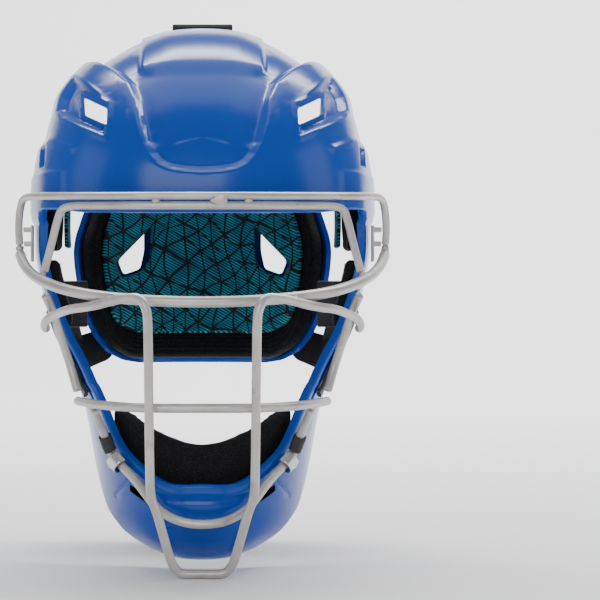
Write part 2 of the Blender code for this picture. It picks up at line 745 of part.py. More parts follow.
def build_leg(side_name, side, webbing, metal, rubber):
    """One elastic leg, its ring, tail and the anchor straps of that side.

    Returns what swings with the back plate: the leg, the ring and the ring's strap.
    """
    stations = [leg_frame(part, side, LEG_LIFT) for part in (0.16, 0.35, 0.55, 0.7, 0.86)]
    leg = strap("strap_leg_" + side_name, [s[0] for s in stations], [s[2] for s in stations],
                LEG_WIDTH, LEG_THICKNESS, webbing, count=10)
    stations = [leg_frame(part, side, TAIL_LIFT) for part in (0.34, 0.6, 0.845)]
    tail = strap("strap_tail_" + side_name, [s[0] for s in stations], [s[2] for s in stations],
                 LEG_WIDTH, LEG_THICKNESS, webbing, count=7)
    hang_on_pivot("tail_hinge_" + side_name, leg_frame(TAIL_FOLD, side, TAIL_LIFT)[0], [tail])
    centre, ahead, across, _ = leg_frame(1.0, side, LEG_LIFT + 1.0)
    ring = []
    half_width, half_length, corner = RING_HALF_WIDTH, RING_HALF_LENGTH, RING_CORNER
    for turn in range(4):
        for step in range(3):
            angle = math.radians(90.0 * turn + 45.0 * step)
            a_sign = 1.0 if turn in (0, 3) else -1.0
            b_sign = 1.0 if turn in (0, 1) else -1.0
            a = a_sign * (half_width - corner) + corner * math.cos(angle)
            b = b_sign * (half_length - corner) + corner * math.sin(angle)
            ring.append(centre + across * a + ahead * b)
    ring = tube("strap_ring_" + side_name, ring, RING_WIRE_RADIUS, metal, closed=True)
    ring_strap = build_anchor_straps(side_name, side, centre, ahead, across, webbing)
    build_anchor(side_name, side, rubber, metal)
    return [leg, ring, ring_strap]


def build_anchor_straps(side_name, side, centre, ahead, across, webbing):
    """Bands from the ring to the shell's cheek at ear height and at the jaw.

    The jaw band is two pieces that meet beside the plate's edge. Returns the one at the ring.
    """
    up = Vector((side * 0.36, 0.0, 0.93))
    tilt = across * -side
    beside_plate = flip([(77.5, 73.0, -34.0), (77.9, 71.9, -34.2)], side)

    def wall_point(y, z, depth):
        """A point inside the shell's jaw wall."""
        return offset_point(Vector((side * 79.0, y, z)).normalized(), -depth)

    near_ring = [centre + ahead * 7.4, centre + ahead * 13.0 - Vector((0.0, 1.5, 0.0))]
    ring_strap = strap("ring_strap_" + side_name, near_ring + beside_plate[:1],
                       [tilt, tilt, tilt.lerp(up, 0.5)], 22.0, LEG_THICKNESS, webbing, count=7)
    jaw_route = beside_plate[1:] + flip([(82.5, 55.0, -37.0), (81.0, 36.0, -40.0)], side)
    jaw_route += [wall_point(16.0, -43.5, 8.0), wall_point(5.0, -43.5, 8.0),
                  wall_point(-5.0, -43.5, 8.0)]
    strap("jaw_anchor_strap_" + side_name, jaw_route, [tilt.lerp(up, 0.5), up, up, up, up, up],
          22.0, LEG_THICKNESS, webbing, count=13)
    ear_route = flip([(81.5, 73.0, -18.5), (87.5, 58.0, -15.5), (90.5, 42.0, -12.0),
                      (91.0, 30.0, -10.0), (90.5, 20.0, -9.0)], side)
    strap("ear_anchor_strap_" + side_name, ear_route, [up] * 5, 18.0, LEG_THICKNESS, webbing,
          count=12)
    return ring_strap


def build_anchor(side_name, side, rubber, metal):
    """The rubber pad and the rivet that hold the jaw band to the shell."""
    seat = Vector((side * 79.0, 0.0, -43.5)).normalized()
    normal = form_normal(seat)
    turn = axes((0.0, 1.0, 0.0), normal.cross(Vector((0.0, 1.0, 0.0))))
    block("anchor_pad_" + side_name, (14.0, 20.0, 1.8), offset_point(seat, -5.4), turn, rubber,
          0.4)
    disc("anchor_rivet_" + side_name, 4.0, 1.4, offset_point(seat, -9.9), -normal, metal)


def main():
    """Build every piece."""
    clear_scene()
    gloss = make_material("blue_gloss_shell", (0.004, 0.085, 0.42), 0.22)
    foam = make_material("black_foam", (0.018, 0.018, 0.018), 0.9)
    liner = make_material("teal_liner", (0.01, 0.16, 0.2), 0.85)
    metal = make_material("silver_powder_coat", (0.42, 0.4, 0.38), 0.38, 0.25)
    nickel = make_material("nickel", (0.6, 0.58, 0.55), 0.3, 1.0)
    rubber = make_material("black_rubber", (0.02, 0.02, 0.02), 0.6)
    webbing = make_material("black_webbing", (0.022, 0.022, 0.022), 0.85)
    leather = make_material("black_patch", (0.03, 0.03, 0.03), 0.6)
    build_front_shell(gloss)
    build_pads(foam, liner, rubber)
    build_chin_pad(foam)
    build_cage(metal)
    build_cage_fixings(metal, rubber, nickel)
    swinging = build_back_plate(gloss, foam, liner) + build_crown_straps(webbing, leather)
    for side_name, side in SIDES:
        swinging += build_leg(side_name, side, webbing, nickel, rubber)
    hang_on_pivot("back_plate_hinge", Vector(PLATE_HINGE), swinging)


main()
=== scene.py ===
"""Hockey-style catcher's mask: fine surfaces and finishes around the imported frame.

Frame: +Z up, the face looks along -Y, +X is the viewer's right from the front. The origin is the
middle of the head cavity. Tables hold millimetres, and meshes are written in metres.
"""
import logging
import math
from dataclasses import dataclass, field
from enum import Enum
from typing import Any, Callable, Sequence

import bmesh
import bpy
import numpy as np
from mathutils import Matrix, Vector
from mathutils.bvhtree import BVHTree


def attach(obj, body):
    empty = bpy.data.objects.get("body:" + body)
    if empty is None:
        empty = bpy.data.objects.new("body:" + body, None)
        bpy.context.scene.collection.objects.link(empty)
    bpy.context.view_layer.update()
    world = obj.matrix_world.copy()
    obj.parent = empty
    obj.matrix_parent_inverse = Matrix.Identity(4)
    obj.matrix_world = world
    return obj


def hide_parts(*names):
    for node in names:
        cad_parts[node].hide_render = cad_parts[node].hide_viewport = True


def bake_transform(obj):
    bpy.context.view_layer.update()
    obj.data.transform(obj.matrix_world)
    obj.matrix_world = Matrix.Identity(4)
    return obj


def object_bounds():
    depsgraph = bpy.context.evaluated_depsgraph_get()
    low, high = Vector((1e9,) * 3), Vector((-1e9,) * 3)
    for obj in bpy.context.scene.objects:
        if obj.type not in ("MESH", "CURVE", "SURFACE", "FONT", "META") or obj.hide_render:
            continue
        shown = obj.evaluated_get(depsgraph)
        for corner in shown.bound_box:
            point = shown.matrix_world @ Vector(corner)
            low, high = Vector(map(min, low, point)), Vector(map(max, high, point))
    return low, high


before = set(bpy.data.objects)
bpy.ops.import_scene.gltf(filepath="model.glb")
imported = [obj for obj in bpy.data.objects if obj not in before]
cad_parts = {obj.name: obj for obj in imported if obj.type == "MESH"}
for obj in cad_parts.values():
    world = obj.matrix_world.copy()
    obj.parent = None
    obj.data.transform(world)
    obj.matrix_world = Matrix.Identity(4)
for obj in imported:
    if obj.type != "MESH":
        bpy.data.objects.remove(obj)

CAD_BOX = [[float(value) for value in corner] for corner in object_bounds()]
LOG = logging.getLogger("catchers_mask")
MM = 0.001
Array = np.ndarray
Place = Callable[[Array, Array], Array]
SHELL, PLATE = "shell", "back_plate_body"
SIDES = (("left", -1.0), ("right", 1.0))


class Slot(Enum):
    """Material slots."""
    GLOSS = "blue_gloss_shell"
    FOAM = "black_foam"
    LINER = "teal_liner"
    WIRE = "silver_powder_coat"
    NICKEL = "nickel"
    RUBBER = "black_rubber"
    WEBBING = "black_webbing"
    PATCH = "black_patch"


# --- curves and tables ---

def cubic(rows: Array, position: Array) -> Array:
    """Catmull-Rom values of a table at fractional row numbers.

    Args:
        rows: One row for each control point.
        position: Row numbers, with fractions.

    Returns:
        One interpolated row for each position.
    """
    last = len(rows) - 1
    low = np.clip(np.floor(position).astype(int), 0, last - 1)
    part = (position - low)[:, None]
    a, b, c, d = (rows[np.clip(low + step, 0, last)] for step in (-1, 0, 1, 2))
    return 0.5 * (2 * b + (c - a) * part + (2 * a - 5 * b + 4 * c - d) * part ** 2
                  + (3 * b - a - 3 * c + d) * part ** 3)


def smooth_path(points: Sequence[Sequence[float]], count: int) -> Array:
    """Evenly numbered points on the smooth curve through the given ones."""
    rows = np.array(points, float)
    return cubic(rows, np.linspace(0.0, len(rows) - 1, count))


def run_lengths(path: Array) -> Array:
    """Length of a path from its start to each of its points."""
    return np.concatenate([[0.0], np.cumsum(np.linalg.norm(np.diff(path, axis=0), axis=1))])


def spaced(path: Array, gap: float) -> Array:
    """A path without the points that nearly repeat the one before."""
    steps = np.linalg.norm(np.diff(path, axis=0), axis=1)
    return path[np.concatenate([[True], steps > gap])]


def repeated(row: Array, count: int) -> Array:
    """One row, many times."""
    return np.repeat(np.array(row, float)[None], count, axis=0)


def sided(outline: Sequence[tuple[float, float]], side: float) -> list[tuple[float, float]]:
    """An outline in X and Z on one side."""
    return [(x * side, z) for x, z in outline]


def even_path(points: Sequence[Sequence[float]], spacing: float) -> Array:
    """Points on the smooth curve through the given ones, evenly spaced by length."""
    fine = smooth_path(points, 24 * len(points))
    run = run_lengths(fine)
    stations = np.linspace(0.0, run[-1], max(3, int(run[-1] / spacing) + 1))
    return np.stack([np.interp(stations, run, fine[:, axis]) for axis in range(fine.shape[1])],
                    axis=1)


def read_table(table: Sequence[tuple[float, float]], height: Array) -> Array:
    """Smoothly read a table of (z, value) rows that fall in z."""
    rows = np.array(table, float)
    height = np.clip(height, rows[-1, 0], rows[0, 0])
    position = np.interp(-height, -rows[:, 0], np.arange(len(rows)))
    return cubic(rows[:, 1:], position)[:, 0]


def smooth_step(low: float, high: float, value: Array) -> Array:
    """0 below low, 1 above high, smooth between."""
    part = np.clip((value - low) / (high - low), 0.0, 1.0)
    return part * part * (3.0 - 2.0 * part)


def ramp(value: Array, rounding: float = 0.14) -> Array:
    """A straight slope from 0 to 1 with small round ends, for moulded steps."""
    slope = np.clip(value, -rounding, 1.0 + rounding)
    start = np.where(slope < rounding, (slope + rounding) ** 2 / (4 * rounding), slope)
    end = 1.0 - (1.0 + rounding - slope) ** 2 / (4 * rounding)
    return np.where(slope > 1.0 - rounding, end, start)


def distance_to(x: Array, z: Array, path: Sequence[tuple[float, float]],
                closed: bool = False) -> Array:
    """Distance of points in X and Z to a polyline."""
    best = np.full(len(x), 1e9)
    points = [np.array(point, float) for point in path]
    ends = points[1:] + (points[:1] if closed else [])
    for start, end in zip(points, ends):
        run = end - start
        part = np.clip(((x - start[0]) * run[0] + (z - start[1]) * run[1]) / (run @ run), 0.0, 1.0)
        best = np.minimum(best,
                          np.hypot(x - start[0] - run[0] * part, z - start[1] - run[1] * part))
    return best


def signed_inside(x: Array, z: Array, outline: Sequence[tuple[float, float]]) -> Array:
    """Distance to a closed outline, positive inside it."""
    inside = np.zeros(len(x), bool)
    for (ax, az), (bx, bz) in zip(outline, list(outline[1:]) + [outline[0]]):
        if az == bz:
            continue
        crosses = (az > z) != (bz > z)
        inside ^= crosses & (x < (bx - ax) * (z - az) / (bz - az) + ax)
    distance = distance_to(x, z, outline, closed=True)
    return np.where(inside, distance, -distance)


def unit(rows: Array) -> Array:
    """Rows scaled to length one."""
    return rows / np.maximum(np.linalg.norm(rows, axis=1, keepdims=True), 1e-9)


def flip(points: Sequence[Sequence[float]], side: float) -> list[tuple[float, float, float]]:
    """Points moved to one side."""
    return [(x * side, y, z) for x, y, z in points]


def mirrored(points: Sequence[Sequence[float]]) -> list[tuple[float, float, float]]:
    """A symmetric run: the -X half reversed, then the given +X half."""
    return [(-x, y, z) for x, y, z in reversed(points) if x > 0.01] + [tuple(p) for p in points]


# --- shader expressions ---

def arithmetic(operation: str, swap: bool = False) -> Callable[["Value", Any], "Value"]:
    """A Python operator that adds one Math node, with the other value first where swap is true."""
    return lambda value, other: value.math(operation, other, swap)


class Value:
    """A number in a node tree that Python's operators combine."""

    def __init__(self, graph: "Graph", socket: bpy.types.NodeSocket) -> None:
        """Wrap one output socket."""
        self.graph = graph
        self.socket = socket

    def math(self, operation: str, other: Any = None, swap: bool = False) -> "Value":
        """Add one Math node.

        Args:
            operation: Blender's name of the operation.
            other: The second value, if the operation has one.
            swap: True where the other value comes first.

        Returns:
            The result as a new value.
        """
        values = [self] if other is None else [self, other]
        inputs = dict(enumerate(reversed(values) if swap else values))
        return self.graph.value("ShaderNodeMath", {"operation": operation}, inputs)

    __add__ = __radd__ = arithmetic("ADD")
    __sub__, __rsub__ = arithmetic("SUBTRACT"), arithmetic("SUBTRACT", swap=True)
    __mul__ = __rmul__ = arithmetic("MULTIPLY")
    __truediv__, __rtruediv__ = arithmetic("DIVIDE"), arithmetic("DIVIDE", swap=True)

    def __abs__(self) -> "Value":
        """abs(self)."""
        return self.math("ABSOLUTE")

    def above(self, other: Any) -> "Value":
        """1 where self is above other, else 0."""
        return self.math("GREATER_THAN", other)

    def near_whole(self) -> "Value":
        """Distance to the nearest whole number."""
        return abs(self - self.math("ROUND"))

    def spread(self, low: float, high: float, floor: float = 0.0, top: float = 1.0) -> "Value":
        """Map low..high to floor..top, held at both ends."""
        return self.graph.value("ShaderNodeMapRange", {"clamp": True},
                                {0: self, 1: low, 2: high, 3: floor, 4: top})


class Graph:
    """The node tree of one material."""

    def __init__(self, name: str) -> None:
        """Start a material with its Principled shader."""
        self.material = bpy.data.materials.new(name)
        self.material.use_nodes = True
        self.tree = self.material.node_tree
        self.shader = self.tree.nodes["Principled BSDF"]

    def node(self, kind: str, settings: dict[str, Any], inputs: dict[Any, Any]) -> bpy.types.Node:
        """Add any node.

        Args:
            kind: The node's type.
            settings: Properties, set before the inputs.
            inputs: Socket name or number to a number, colour, socket or Value.

        Returns:
            The node.
        """
        made = self.tree.nodes.new(kind)
        for key, setting in settings.items():
            setattr(made, key, setting)
        for key, given in inputs.items():
            self.plug(made.inputs[key], given)
        return made

    def plug(self, socket: bpy.types.NodeSocket, given: Any) -> None:
        """Set a socket, or link it."""
        if isinstance(given, Value):
            given = given.socket
        if isinstance(given, bpy.types.NodeSocket):
            self.tree.links.new(given, socket)
        else:
            socket.default_value = given

    def value(self, kind: str, settings: dict[str, Any], inputs: dict[Any, Any],
              output: Any = 0) -> Value:
        """Add any node and take one of its outputs."""
        return Value(self, self.node(kind, settings, inputs).outputs[output])

    def place(self) -> Value:
        """The point in the object's own coordinates, in metres."""
        return self.value("ShaderNodeTexCoord", {}, {}, "Object")

    def cloth(self) -> Value:
        """The flat coordinates of a laid piece, in millimetres."""
        return self.value("ShaderNodeAttribute", {"attribute_name": "flat"}, {}, "Vector")

    def axes(self, point: Value) -> tuple[Value, Value, Value]:
        """The three numbers of a vector."""
        split = self.node("ShaderNodeSeparateXYZ", {}, {0: point})
        return Value(self, split.outputs[0]), Value(self, split.outputs[1]), Value(self,
                                                                                   split.outputs[2])

    def noise(self, point: Value, scale: float, detail: float = 3.0,
              roughness: float = 0.55) -> Value:
        """Noise from 0 to 1."""
        return self.value("ShaderNodeTexNoise", {},
                          {"Vector": point, "Scale": scale, "Detail": detail,
                           "Roughness": roughness})

    def blend(self, factor: Any, first: Any, second: Any) -> Value:
        """Mix two colours."""
        mixed = self.node("ShaderNodeMix", {"data_type": "RGBA"}, {0: factor, 6: first, 7: second})
        return Value(self, mixed.outputs[2])

    def bump(self, height: Value, strength: float, depth: float) -> Value:
        """A normal from a height, depth in metres."""
        return self.value("ShaderNodeBump", {},
                          {"Strength": strength, "Distance": depth, "Height": height})

    def finish(self, **inputs: Any) -> bpy.types.Material:
        """Set the shader's sockets, with underscores for spaces, and return the material."""
        for key, given in inputs.items():
            self.plug(self.shader.inputs[key.replace("_", " ")], given)
        return self.material


def colour(red: float, green: float, blue: float) -> tuple[float, float, float, float]:
    """A linear colour with full alpha."""
    return (red, green, blue, 1.0)


@dataclass(frozen=True)
class GlossShell:
    """Moulded royal blue plastic: even colour, faint orange peel, hairline polish marks."""
    name: str = "blue_gloss_shell_finish"
    deep: tuple = colour(0.0, 0.052, 0.36)
    light: tuple = colour(0.0, 0.062, 0.42)
    roughness: float = 0.19

    def build(self) -> bpy.types.Material:
        """Make the material."""
        graph = Graph(self.name)
        point = graph.place()
        cloud = graph.noise(point, 9.0, 4.0)
        peel = graph.noise(point, 420.0, 2.0)
        marks = graph.noise(point, 1500.0, 4.0, 0.7)
        rough = cloud * 0.05 + marks.spread(0.55, 0.8, 0.0, 0.06) + (self.roughness - 0.02)
        normal = graph.bump(peel * 0.8 + marks * 0.2, 0.09, 0.00035)
        return graph.finish(Base_Color=graph.blend(cloud, self.deep, self.light), Roughness=rough,
                            Normal=normal, IOR=1.47, Specular_IOR_Level=0.42)


@dataclass(frozen=True)
class PowderCoat:
    """Satin silver-grey powder coat over steel wire, with a fine pimpled skin."""
    name: str = "silver_powder_coat_finish"
    pale: tuple = colour(0.60, 0.575, 0.55)
    dark: tuple = colour(0.45, 0.43, 0.41)
    weld: tuple = colour(0.24, 0.22, 0.20)

    def build(self) -> bpy.types.Material:
        """Make the material."""
        graph = Graph(self.name)
        point = graph.place()
        patch = graph.noise(point, 34.0, 5.0, 0.62)
        pimple = graph.noise(point, 2200.0, 2.0)
        stain = graph.noise(point, 95.0, 3.0).spread(0.60, 0.78)
        tone = graph.blend(patch.spread(0.35, 0.65), self.dark, self.pale)
        normal = graph.bump(pimple * 0.7 + patch * 0.3, 0.30, 0.00018)
        return graph.finish(Base_Color=graph.blend(stain * 0.55, tone, self.weld), Metallic=0.55,
                            Roughness=patch * 0.16 + 0.27, Normal=normal)


@dataclass(frozen=True)
class Nickel:
    """Bright nickel plate with drawn lines and dulled patches."""
    name: str = "nickel_finish"

    def build(self) -> bpy.types.Material:
        """Make the material."""
        graph = Graph(self.name)
        point = graph.place()
        drawn = graph.node("ShaderNodeMapping", {},
                           {"Vector": point, "Scale": (900.0, 90.0, 900.0)})
        lines = graph.noise(Value(graph, drawn.outputs[0]), 1.0, 4.0)
        haze = graph.noise(point, 180.0, 3.0)
        tone = graph.blend(haze, colour(0.56, 0.54, 0.51), colour(0.74, 0.72, 0.69))
        return graph.finish(Base_Color=tone, Metallic=1.0,
                            Roughness=haze * 0.2 + lines * 0.1 + 0.12,
                            Normal=graph.bump(lines, 0.10, 0.0001))


@dataclass(frozen=True)
class FoamSkin:
    """Black brushed cloth skin on closed-cell foam, with pale flecks in the nap."""
    name: str = "black_foam_finish"
    base: tuple = colour(0.005, 0.005, 0.006)
    fleck: tuple = colour(0.050, 0.050, 0.053)

    def build(self) -> bpy.types.Material:
        """Make the material."""
        graph = Graph(self.name)
        point = graph.place()
        nap = graph.noise(point, 1300.0, 3.0, 0.7)
        cells = graph.value("ShaderNodeTexVoronoi", {}, {"Vector": point, "Scale": 900.0},
                            "Distance")
        cloud = graph.noise(point, 45.0, 3.0)
        flecks = nap.spread(0.52, 0.74) * cloud.spread(0.2, 0.8, 0.35, 1.0)
        normal = graph.bump(nap * 0.6 + cells * 0.4, 0.55, 0.0006)
        return graph.finish(Base_Color=graph.blend(flecks, self.base, self.fleck),
                            Roughness=cloud * 0.12 + 0.82, Normal=normal, Sheen_Weight=0.06,
                            Sheen_Roughness=0.5, Specular_IOR_Level=0.2)


@dataclass(frozen=True)
class LinerCloth:
    """Teal knitted liner printed with fine slanted hatching and a net of dark triangles."""
    name: str = "teal_liner_finish"
    teal: tuple = colour(0.004, 0.30, 0.40)
    pale: tuple = colour(0.012, 0.46, 0.56)
    ink: tuple = colour(0.003, 0.006, 0.010)
    hatch_mm: float = 1.85
    net_mm: float = 13.6
    hatch_slope_deg: float = 24.0

    def build(self) -> bpy.types.Material:
        """Make the material."""
        graph = Graph(self.name)
        flat = graph.cloth()
        across, along, _ = graph.axes(flat)
        slope = math.radians(self.hatch_slope_deg)
        waver = graph.noise(flat, 0.02, 0.0) - 0.5
        line = (across * math.sin(slope) + along * math.cos(slope) + waver * 1.6) / self.hatch_mm
        hatch = line.near_whole().spread(0.21, 0.27)
        drift_x = (graph.noise(flat, 0.022, 0.0) - 0.5) * 24.0
        drift_z = (graph.noise(graph.value("ShaderNodeVectorMath", {"operation": "ADD"},
                                           {0: flat, 1: (70.0, 30.0, 0.0)}), 0.022, 0.0)
                   - 0.5) * 24.0
        near = []
        for turn in (5.0, 65.0, 125.0):
            angle = math.radians(turn)
            reach = (across + drift_x) * math.cos(angle) + (along + drift_z) * math.sin(angle)
            near.append((reach / self.net_mm).near_whole() * self.net_mm)
        net = 1.0 - near[0].math("MINIMUM", near[1].math("MINIMUM", near[2])).spread(0.6, 0.9)
        knot = 1.0 - near[0].math("MAXIMUM", near[1].math("MAXIMUM", near[2])).spread(1.7, 2.2)
        ink = net.math("MAXIMUM", knot.math("MAXIMUM", hatch))
        tone = graph.blend(graph.noise(flat, 0.07, 2.0).spread(0.4, 0.62), self.teal, self.pale)
        knit = graph.value("ShaderNodeTexVoronoi", {}, {"Vector": flat, "Scale": 1.4}, "Distance")
        fuzz = graph.noise(flat, 2.4, 2.0)
        return graph.finish(Base_Color=graph.blend(ink, tone, self.ink),
                            Roughness=fuzz * 0.15 + 0.72,
                            Normal=graph.bump(knit * 0.6 + net * 0.8 + hatch * 0.2, 0.5, 0.0005))


@dataclass(frozen=True)
class Rubber:
    """Matte black moulded rubber with a dusty bloom."""
    name: str = "black_rubber_finish"

    def build(self) -> bpy.types.Material:
        """Make the material."""
        graph = Graph(self.name)
        point = graph.place()
        bloom = graph.noise(point, 60.0, 4.0)
        grain = graph.noise(point, 900.0, 3.0)
        tone = graph.blend(bloom, colour(0.012, 0.012, 0.013), colour(0.036, 0.036, 0.037))
        return graph.finish(Base_Color=tone, Roughness=bloom * 0.2 + 0.45,
                            Normal=graph.bump(grain, 0.25, 0.0003))


@dataclass(frozen=True)
class Webbing:
    """Black woven strap: ribs across the strap, yarns along it, crests paler than the grooves
    between them.
    """
    name: str = "black_webbing_finish"
    rib_mm: float = 1.05
    yarn_mm: float = 0.8
    base: tuple = colour(0.007, 0.007, 0.008)
    crest: tuple = colour(0.040, 0.040, 0.042)

    def build(self) -> bpy.types.Material:
        """Make the material."""
        graph = Graph(self.name)
        flat = graph.cloth()
        across, along, _ = graph.axes(flat)
        rib = (along / self.rib_mm).near_whole() * 2.0
        shift = (along / self.rib_mm).math("ROUND") * 0.5
        yarn = (across / self.yarn_mm + shift).near_whole() * 2.0
        fuzz = graph.noise(flat, 1.9, 3.0)
        weave = 1.0 - (rib * 0.65 + yarn * 0.35)
        # Colour paler on the weave's crests and darker in its grooves, broken up by fuzz noise.
        tone = graph.blend(weave.spread(0.35, 0.9) * fuzz, self.base, self.crest)
        return graph.finish(Base_Color=tone, Roughness=fuzz * 0.15 + 0.72, Specular_IOR_Level=0.3,
                            Normal=graph.bump(weave * 0.8 + fuzz * 0.2, 0.7, 0.0005))


@dataclass(frozen=True)
class PatchLeather:
    """Black synthetic leather with a pebbled grain."""
    name: str = "black_patch_finish"

    def build(self) -> bpy.types.Material:
        """Make the material."""
        graph = Graph(self.name)
        point = graph.place()
        grain = graph.value("ShaderNodeTexVoronoi", {"feature": "F1"},
                            {"Vector": point, "Scale": 950.0}, "Distance")
        cloud = graph.noise(point, 70.0, 3.0)
        tone = graph.blend(cloud, colour(0.020, 0.020, 0.021), colour(0.042, 0.042, 0.044))
        return graph.finish(Base_Color=tone, Roughness=cloud * 0.14 + 0.50,
                            Normal=graph.bump(grain, 0.4, 0.0004))


@dataclass(frozen=True)
class Thread:
    """Grey-black stitching thread."""
    name: str = "stitching_thread_finish"

    def build(self) -> bpy.types.Material:
        """Make the material."""
        graph = Graph(self.name)
        twist = graph.noise(graph.place(), 2600.0, 2.0)
        tone = graph.blend(twist, colour(0.02, 0.02, 0.021), colour(0.085, 0.085, 0.088))
        return graph.finish(Base_Color=tone, Roughness=0.7, Normal=graph.bump(twist, 0.5, 0.0003))


class Finishes:
    """Every material of the mask, made once."""

    def __init__(self) -> None:
        """Make the materials."""
        self.gloss = GlossShell().build()
        self.wire = PowderCoat().build()
        self.nickel = Nickel().build()
        self.foam = FoamSkin().build()
        self.liner = LinerCloth().build()
        self.rubber = Rubber().build()
        self.webbing = Webbing().build()
        self.patch = PatchLeather().build()
        self.thread = Thread().build()


# --- mesh building ---

def mesh_piece(name: str, mesh_bm: bmesh.types.BMesh, material: bpy.types.Material,
               sharp_deg: float = 40.0) -> bpy.types.Object:
    """Turn a bmesh in metres into a linked, smooth-shaded piece."""
    mesh = bpy.data.meshes.new(name)
    mesh_bm.to_mesh(mesh)
    mesh_bm.free()
    mesh.materials.append(material)
    mesh.shade_smooth()
    mesh.set_sharp_from_angle(angle=math.radians(sharp_deg))
    piece = bpy.data.objects.new(name, mesh)
    bpy.context.scene.collection.objects.link(piece)
    return piece


def settle(piece: bpy.types.Object, sharp_deg: float = 40.0) -> None:
    """Apply a piece's modifiers to its mesh and drop its cutters."""
    bpy.context.view_layer.update()
    cutters = [step.object for step in piece.modifiers if step.type == "BOOLEAN"]
    graph = bpy.context.evaluated_depsgraph_get()
    made = bpy.data.meshes.new_from_object(piece.evaluated_get(graph), depsgraph=graph)
    piece.modifiers.clear()
    piece.data = made
    made.shade_smooth()
    made.set_sharp_from_angle(angle=math.radians(sharp_deg))
    for cutter in cutters:
        bpy.data.objects.remove(cutter, do_unlink=True)


def declare(piece: bpy.types.Object, body: str, slot: Slot, *nodes: str) -> bpy.types.Object:
    """Say what a piece rides on and the nodes that it stands for."""
    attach(piece, body)
    if nodes:
        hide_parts(*nodes)
    LOG.info("%s rides on %s: %d faces", piece.name, body, len(piece.data.polygons))
    return piece


def grid(across: int, along: int) -> bmesh.types.BMesh:
    """A unit grid whose points are u and v from 0 to 1."""
    sheet = bmesh.new()
    bmesh.ops.create_grid(sheet, x_segments=across, y_segments=along, size=0.5)
    bmesh.ops.translate(sheet, verts=sheet.verts, vec=(0.5, 0.5, 0.0))
    return sheet


def lay(sheet: bmesh.types.BMesh, place: Place, outward: Callable[[Array], Array],
        flat: Place | None = None, wrap: bool = False) -> None:
    """Move a grid onto a surface and turn its faces outwards.

    Args:
        sheet: The grid, with u and v as its X and Y.
        place: Gives millimetres for arrays of u and v.
        outward: Gives directions off the surface for points in millimetres.
        flat: Gives flat cloth coordinates in millimetres, kept as the attribute "flat".
        wrap: True where u = 1 joins u = 0.
    """
    start = np.array([vert.co[:] for vert in sheet.verts])
    made = place(start[:, 0], start[:, 1])
    if flat is not None:
        layer = sheet.verts.layers.float_vector.new("flat")
        cloth = flat(start[:, 0], start[:, 1])
        for vert, row in zip(sheet.verts, cloth):
            vert[layer] = Vector(row)
    for vert, row in zip(sheet.verts, made):
        vert.co = Vector(row) * MM
    if wrap:
        bmesh.ops.remove_doubles(sheet, verts=sheet.verts, dist=0.00002)
    sheet.normal_update()
    faces = list(sheet.faces)
    middles = np.array([face.calc_center_median()[:] for face in faces]) / MM
    normals = np.array([face.normal[:] for face in faces])
    if (normals * outward(middles)).sum() < 0.0:
        bmesh.ops.reverse_faces(sheet, faces=faces)
    sheet.normal_update()


def edge_loops(edges: Sequence[bmesh.types.BMEdge]) -> list[list[bmesh.types.BMEdge]]:
    """Sort rim edges into their separate loops."""
    left, loops = dict.fromkeys(edges), []
    while left:
        loop = [left.popitem()[0]]
        for edge in loop:
            for near in [other for vert in edge.verts for other in vert.link_edges
                         if other in left]:
                if near in left:
                    del left[near]
                    loop.append(near)
        loops.append(loop)
    return loops


def thicken(sheet: bmesh.types.BMesh, wall: float,
            along: Callable[[Array], Array] | None = None) -> None:
    """Grow a wall inwards from a sheet and close its rim.

    Args:
        sheet: The outer face.
        wall: Thickness in millimetres.
        along: Gives the directions of the wall at points in millimetres; the sheet's own
            normals if left out.
    """
    top = list(sheet.faces)
    rim = [edge for edge in sheet.edges if edge.is_boundary]
    normals = {vert: vert.normal.copy() for vert in sheet.verts}
    if along is not None:
        rows = along(np.array([vert.co[:] for vert in sheet.verts]) / MM)
        normals = {vert: Vector(row) for vert, row in zip(sheet.verts, rows)}
    copy = bmesh.ops.duplicate(sheet, geom=top)
    pairs = copy["vert_map"]
    inner = [part for part in copy["geom"] if isinstance(part, bmesh.types.BMFace)]
    for vert, normal in normals.items():
        pairs[vert].co = vert.co - normal * wall * MM
    bmesh.ops.reverse_faces(sheet, faces=inner)
    other = {edge: copy["edge_map"][edge] for edge in rim}
    for loop in edge_loops(rim):
        bmesh.ops.bridge_loops(sheet, edges=loop + [other[edge] for edge in loop])
    sheet.normal_update()


def outwards(points: Array) -> Array:
    """Away from the middle of the head."""
    return points


def backwards(points: Array) -> Array:
    """Away from the middle of the head, level."""
    return points * np.array([1.0, 1.0, 0.0])


